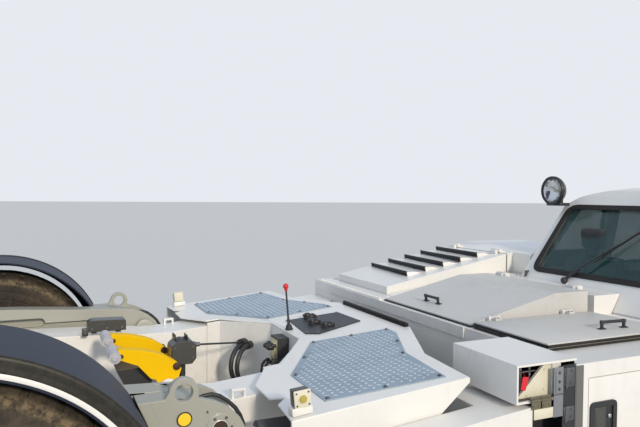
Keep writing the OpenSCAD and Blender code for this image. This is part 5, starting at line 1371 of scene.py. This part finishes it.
def makeWiper(name, w):
    p = w["place"]
    foot, tip = [Vector((*w[k], 0)) for k in ("foot", "tip")]
    start, end = [Vector((*e, 0)) for e in w["blade"]]
    along, span = tip - foot, end - start

    def up(point, height):
        return p @ (point + Vector((0, 0, height)))

    bm = bmesh.new()
    addTurned(bm, [(0.020, 0.000), (0.020, 0.016), (0.016, 0.024), (0, 0.026)], p @ Matrix.Translation(foot),
              steps=24)
    arm = ((0, 0.018), (0.15, 0.026), (0.3, 0.030), (0.7, 0.026), (1, 0.020))
    addPipe(bm, [up(foot + along * t, h) for t, h in arm], 0.0055)
    addPipe(bm, [up(foot + along * t, h) for t, h in ((0, 0.014), (0.16, 0.019), (0.3, 0.023))], 0.010, sides=8)
    for a, b, height, r in ((0.0, 1.0, 0.0085, 0.0030), (0.0, 1.0, 0.0125, 0.0042), (0.2, 0.8, 0.018, 0.0038)):
        addPipe(bm, [up(start + span * t, height) for t in (a, (a + b) / 2, b)], r, sides=8)
    for t in (0.2, 0.5, 0.8):
        addRod(bm, up(start + span * t, 0.006), up(start + span * t, 0.021), 0.005, sides=10)
    addPiece(name + "Wiper", bm, "blackPlastic", "root")


for name, w in wipers.items():
    makeWiper(name, w)

# seats: pads swollen by a short cloth run, with piping, on a frame each
recline = at(0, 0, 0.240, -8, "Y")
seat = {"x": 1.270, "rows": {"Right": -0.850, "Left": -0.150}, "floor": 0.4155, "voxel": 0.008, "cap": 0.016,
        "steps": 20,
        "forms": (("Cushion", (-0.120, -0.218, 0.182), (0.318, 0.218, 0.276), Matrix(), 0.030),
                  ("Back", (-0.120, -0.208, 0.060), (-0.035, 0.208, 0.520), recline, 0.026),
                  ("Headrest", (-0.106, -0.088, 0.575), (-0.050, 0.088, 0.705), recline, 0.020))}


def swollen(low, high, place, edge):
    # the mesh of a rounded block, grown under pressure where the run is not skipped
    bm = bmesh.new()
    addBlock(bm, low, high, edge)
    mesh = bpy.data.meshes.new("block")
    bm.to_mesh(mesh)
    bm.free()
    pad = bpy.data.objects.new("block", mesh)
    scene.collection.objects.link(pad)
    remesh = pad.modifiers.new("remesh", "REMESH")
    remesh.mode, remesh.voxel_size = "VOXEL", seat["voxel"]
    shape = bpy.data.meshes.new_from_object(pad.evaluated_get(bpy.context.evaluated_depsgraph_get()))
    pad.modifiers.clear()
    pad.data = shape
    rest = [v.co.copy() for v in shape.vertices]
    run = pad.modifiers.new("cloth", "CLOTH")
    run.settings.use_pressure, run.settings.uniform_pressure_force = True, 4
    run.settings.effector_weights.gravity = 0
    run.point_cache.frame_start, run.point_cache.frame_end = 1, seat["steps"]
    for step in range(seat["steps"]):
        scene.frame_set(step + 1)
    grown = bpy.data.meshes.new_from_object(pad.evaluated_get(bpy.context.evaluated_depsgraph_get()))
    moves = [g.co - r for g, r in zip(grown.vertices, rest)]
    for vertex, r, move in zip(shape.vertices, rest, moves):
        vertex.co = r + move * min(1, seat["cap"] / max(move.length, 1e-9))
    scene.frame_set(1)
    bpy.data.objects.remove(pad)
    shape.transform(place)
    shape.shade_smooth()
    return shape


def makePads(s):
    for word, low, high, tilt, edge in s["forms"]:
        shape = swollen(low, high, tilt, edge)
        for label, y in s["rows"].items():
            mesh = shape.copy()
            mesh.transform(Matrix.Translation((s["x"], y, s["floor"])))
            mesh.materials.append(finishes["seatFabric"])
            pad = bpy.data.objects.new("seat" + word + label, mesh)
            scene.collection.objects.link(pad)
            smooth = pad.modifiers.new("smooth", "SUBSURF")
            smooth.levels = smooth.render_levels = 1
            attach(pad, "root")
    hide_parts("seats")


def makeSeatFrame(label, y):
    place = Matrix.Translation((seat["x"], y, seat["floor"]))
    back = place @ recline
    bm = bmesh.new()
    addBlock(bm, (-0.100, -0.150, 0.000), (0.250, 0.150, 0.130), 0.010, place)
    addBlock(bm, (-0.120, -0.200, 0.130), (0.300, 0.200, 0.170), 0.008, place)
    for side in (-1, 1):
        addRod(bm, (-0.110, side * 0.205, 0.160), (0.290, side * 0.205, 0.160), 0.010, place=place)
        addPipe(bm, [back @ Vector((-0.078, side * 0.060, z)) for z in (0.48, 0.55, 0.62)], 0.006)
    addBlock(bm, (-0.134, -0.200, 0.030), (-0.118, 0.200, 0.510), 0.006, back)
    addPiece("seatFrame" + label, bm, "blackPlastic", "root")
    bm = bmesh.new()
    corners = rounded(rectangle(-0.116, -0.214, 0.314, 0.214), 0.035, 4)
    for z in (0.272, 0.188):
        addPipe(bm, [place @ Vector((*corner, z)) for corner in corners], 0.0045, sides=8, closed=True)
    corners = rounded(rectangle(-0.204, 0.064, 0.204, 0.516), 0.035, 4)
    for x in (-0.040, -0.115):
        addPipe(bm, [back @ Vector((x, *corner)) for corner in corners], 0.0045, sides=8, closed=True)
    addPiece("seatPiping" + label, bm, "blackPlastic", "root")


makePads(seat)
for label, y in seat["rows"].items():
    makeSeatFrame(label, y)
print("cab")

# studio
studio = {"key": 2.3, "keyAngle": 6, "keyTurn": (68, 0, 4), "keyColour": (1.0, 0.88, 0.70), "fill": 0.74,
          "fillColour": (0.80, 0.90, 1.05), "floor": (0.60, 0.60, 0.59), "sky": (0.80, 0.83, 0.88)}


def makeStudio(s):
    lamp = bpy.data.lights.new("keyLamp", "SUN")
    lamp.energy, lamp.angle, lamp.color = s["key"], math.radians(s["keyAngle"]), s["keyColour"]
    key = bpy.data.objects.new("keyLamp", lamp)
    key.rotation_euler = [math.radians(a) for a in s["keyTurn"]]
    scene.collection.objects.link(key)
    world = bpy.data.worlds.new("studio")
    world.use_nodes = True
    tree = world.node_tree
    tree.nodes.clear()
    ray = tree.nodes.new("ShaderNodeLightPath")
    fill, back = tree.nodes.new("ShaderNodeBackground"), tree.nodes.new("ShaderNodeBackground")
    fill.inputs["Color"].default_value = (*s["fillColour"], 1)
    fill.inputs["Strength"].default_value = s["fill"]
    back.inputs["Color"].default_value = (*s["sky"], 1)
    blend, output = tree.nodes.new("ShaderNodeMixShader"), tree.nodes.new("ShaderNodeOutputWorld")
    shown = tree.nodes.new("ShaderNodeMath")
    shown.operation = "MAXIMUM"
    tree.links.new(ray.outputs["Is Camera Ray"], shown.inputs[0])
    tree.links.new(ray.outputs["Is Transmission Ray"], shown.inputs[1])
    tree.links.new(shown.outputs[0], blend.inputs["Fac"])
    tree.links.new(fill.outputs[0], blend.inputs[1])
    tree.links.new(back.outputs[0], blend.inputs[2])
    tree.links.new(blend.outputs[0], output.inputs["Surface"])
    scene.world = world
    bm = bmesh.new()
    bmesh.ops.create_grid(bm, x_segments=1, y_segments=1, size=120)
    mesh = bpy.data.meshes.new("floor")
    bm.to_mesh(mesh)
    bm.free()
    floor = bpy.data.objects.new("floor", mesh)
    scene.collection.objects.link(floor)
    mesh.materials.append(Finish("floor").shade(Base_Color=(*s["floor"], 1), Roughness=0.85))


makeStudio(studio)
scene.view_settings.view_transform = "Standard"

print("done")
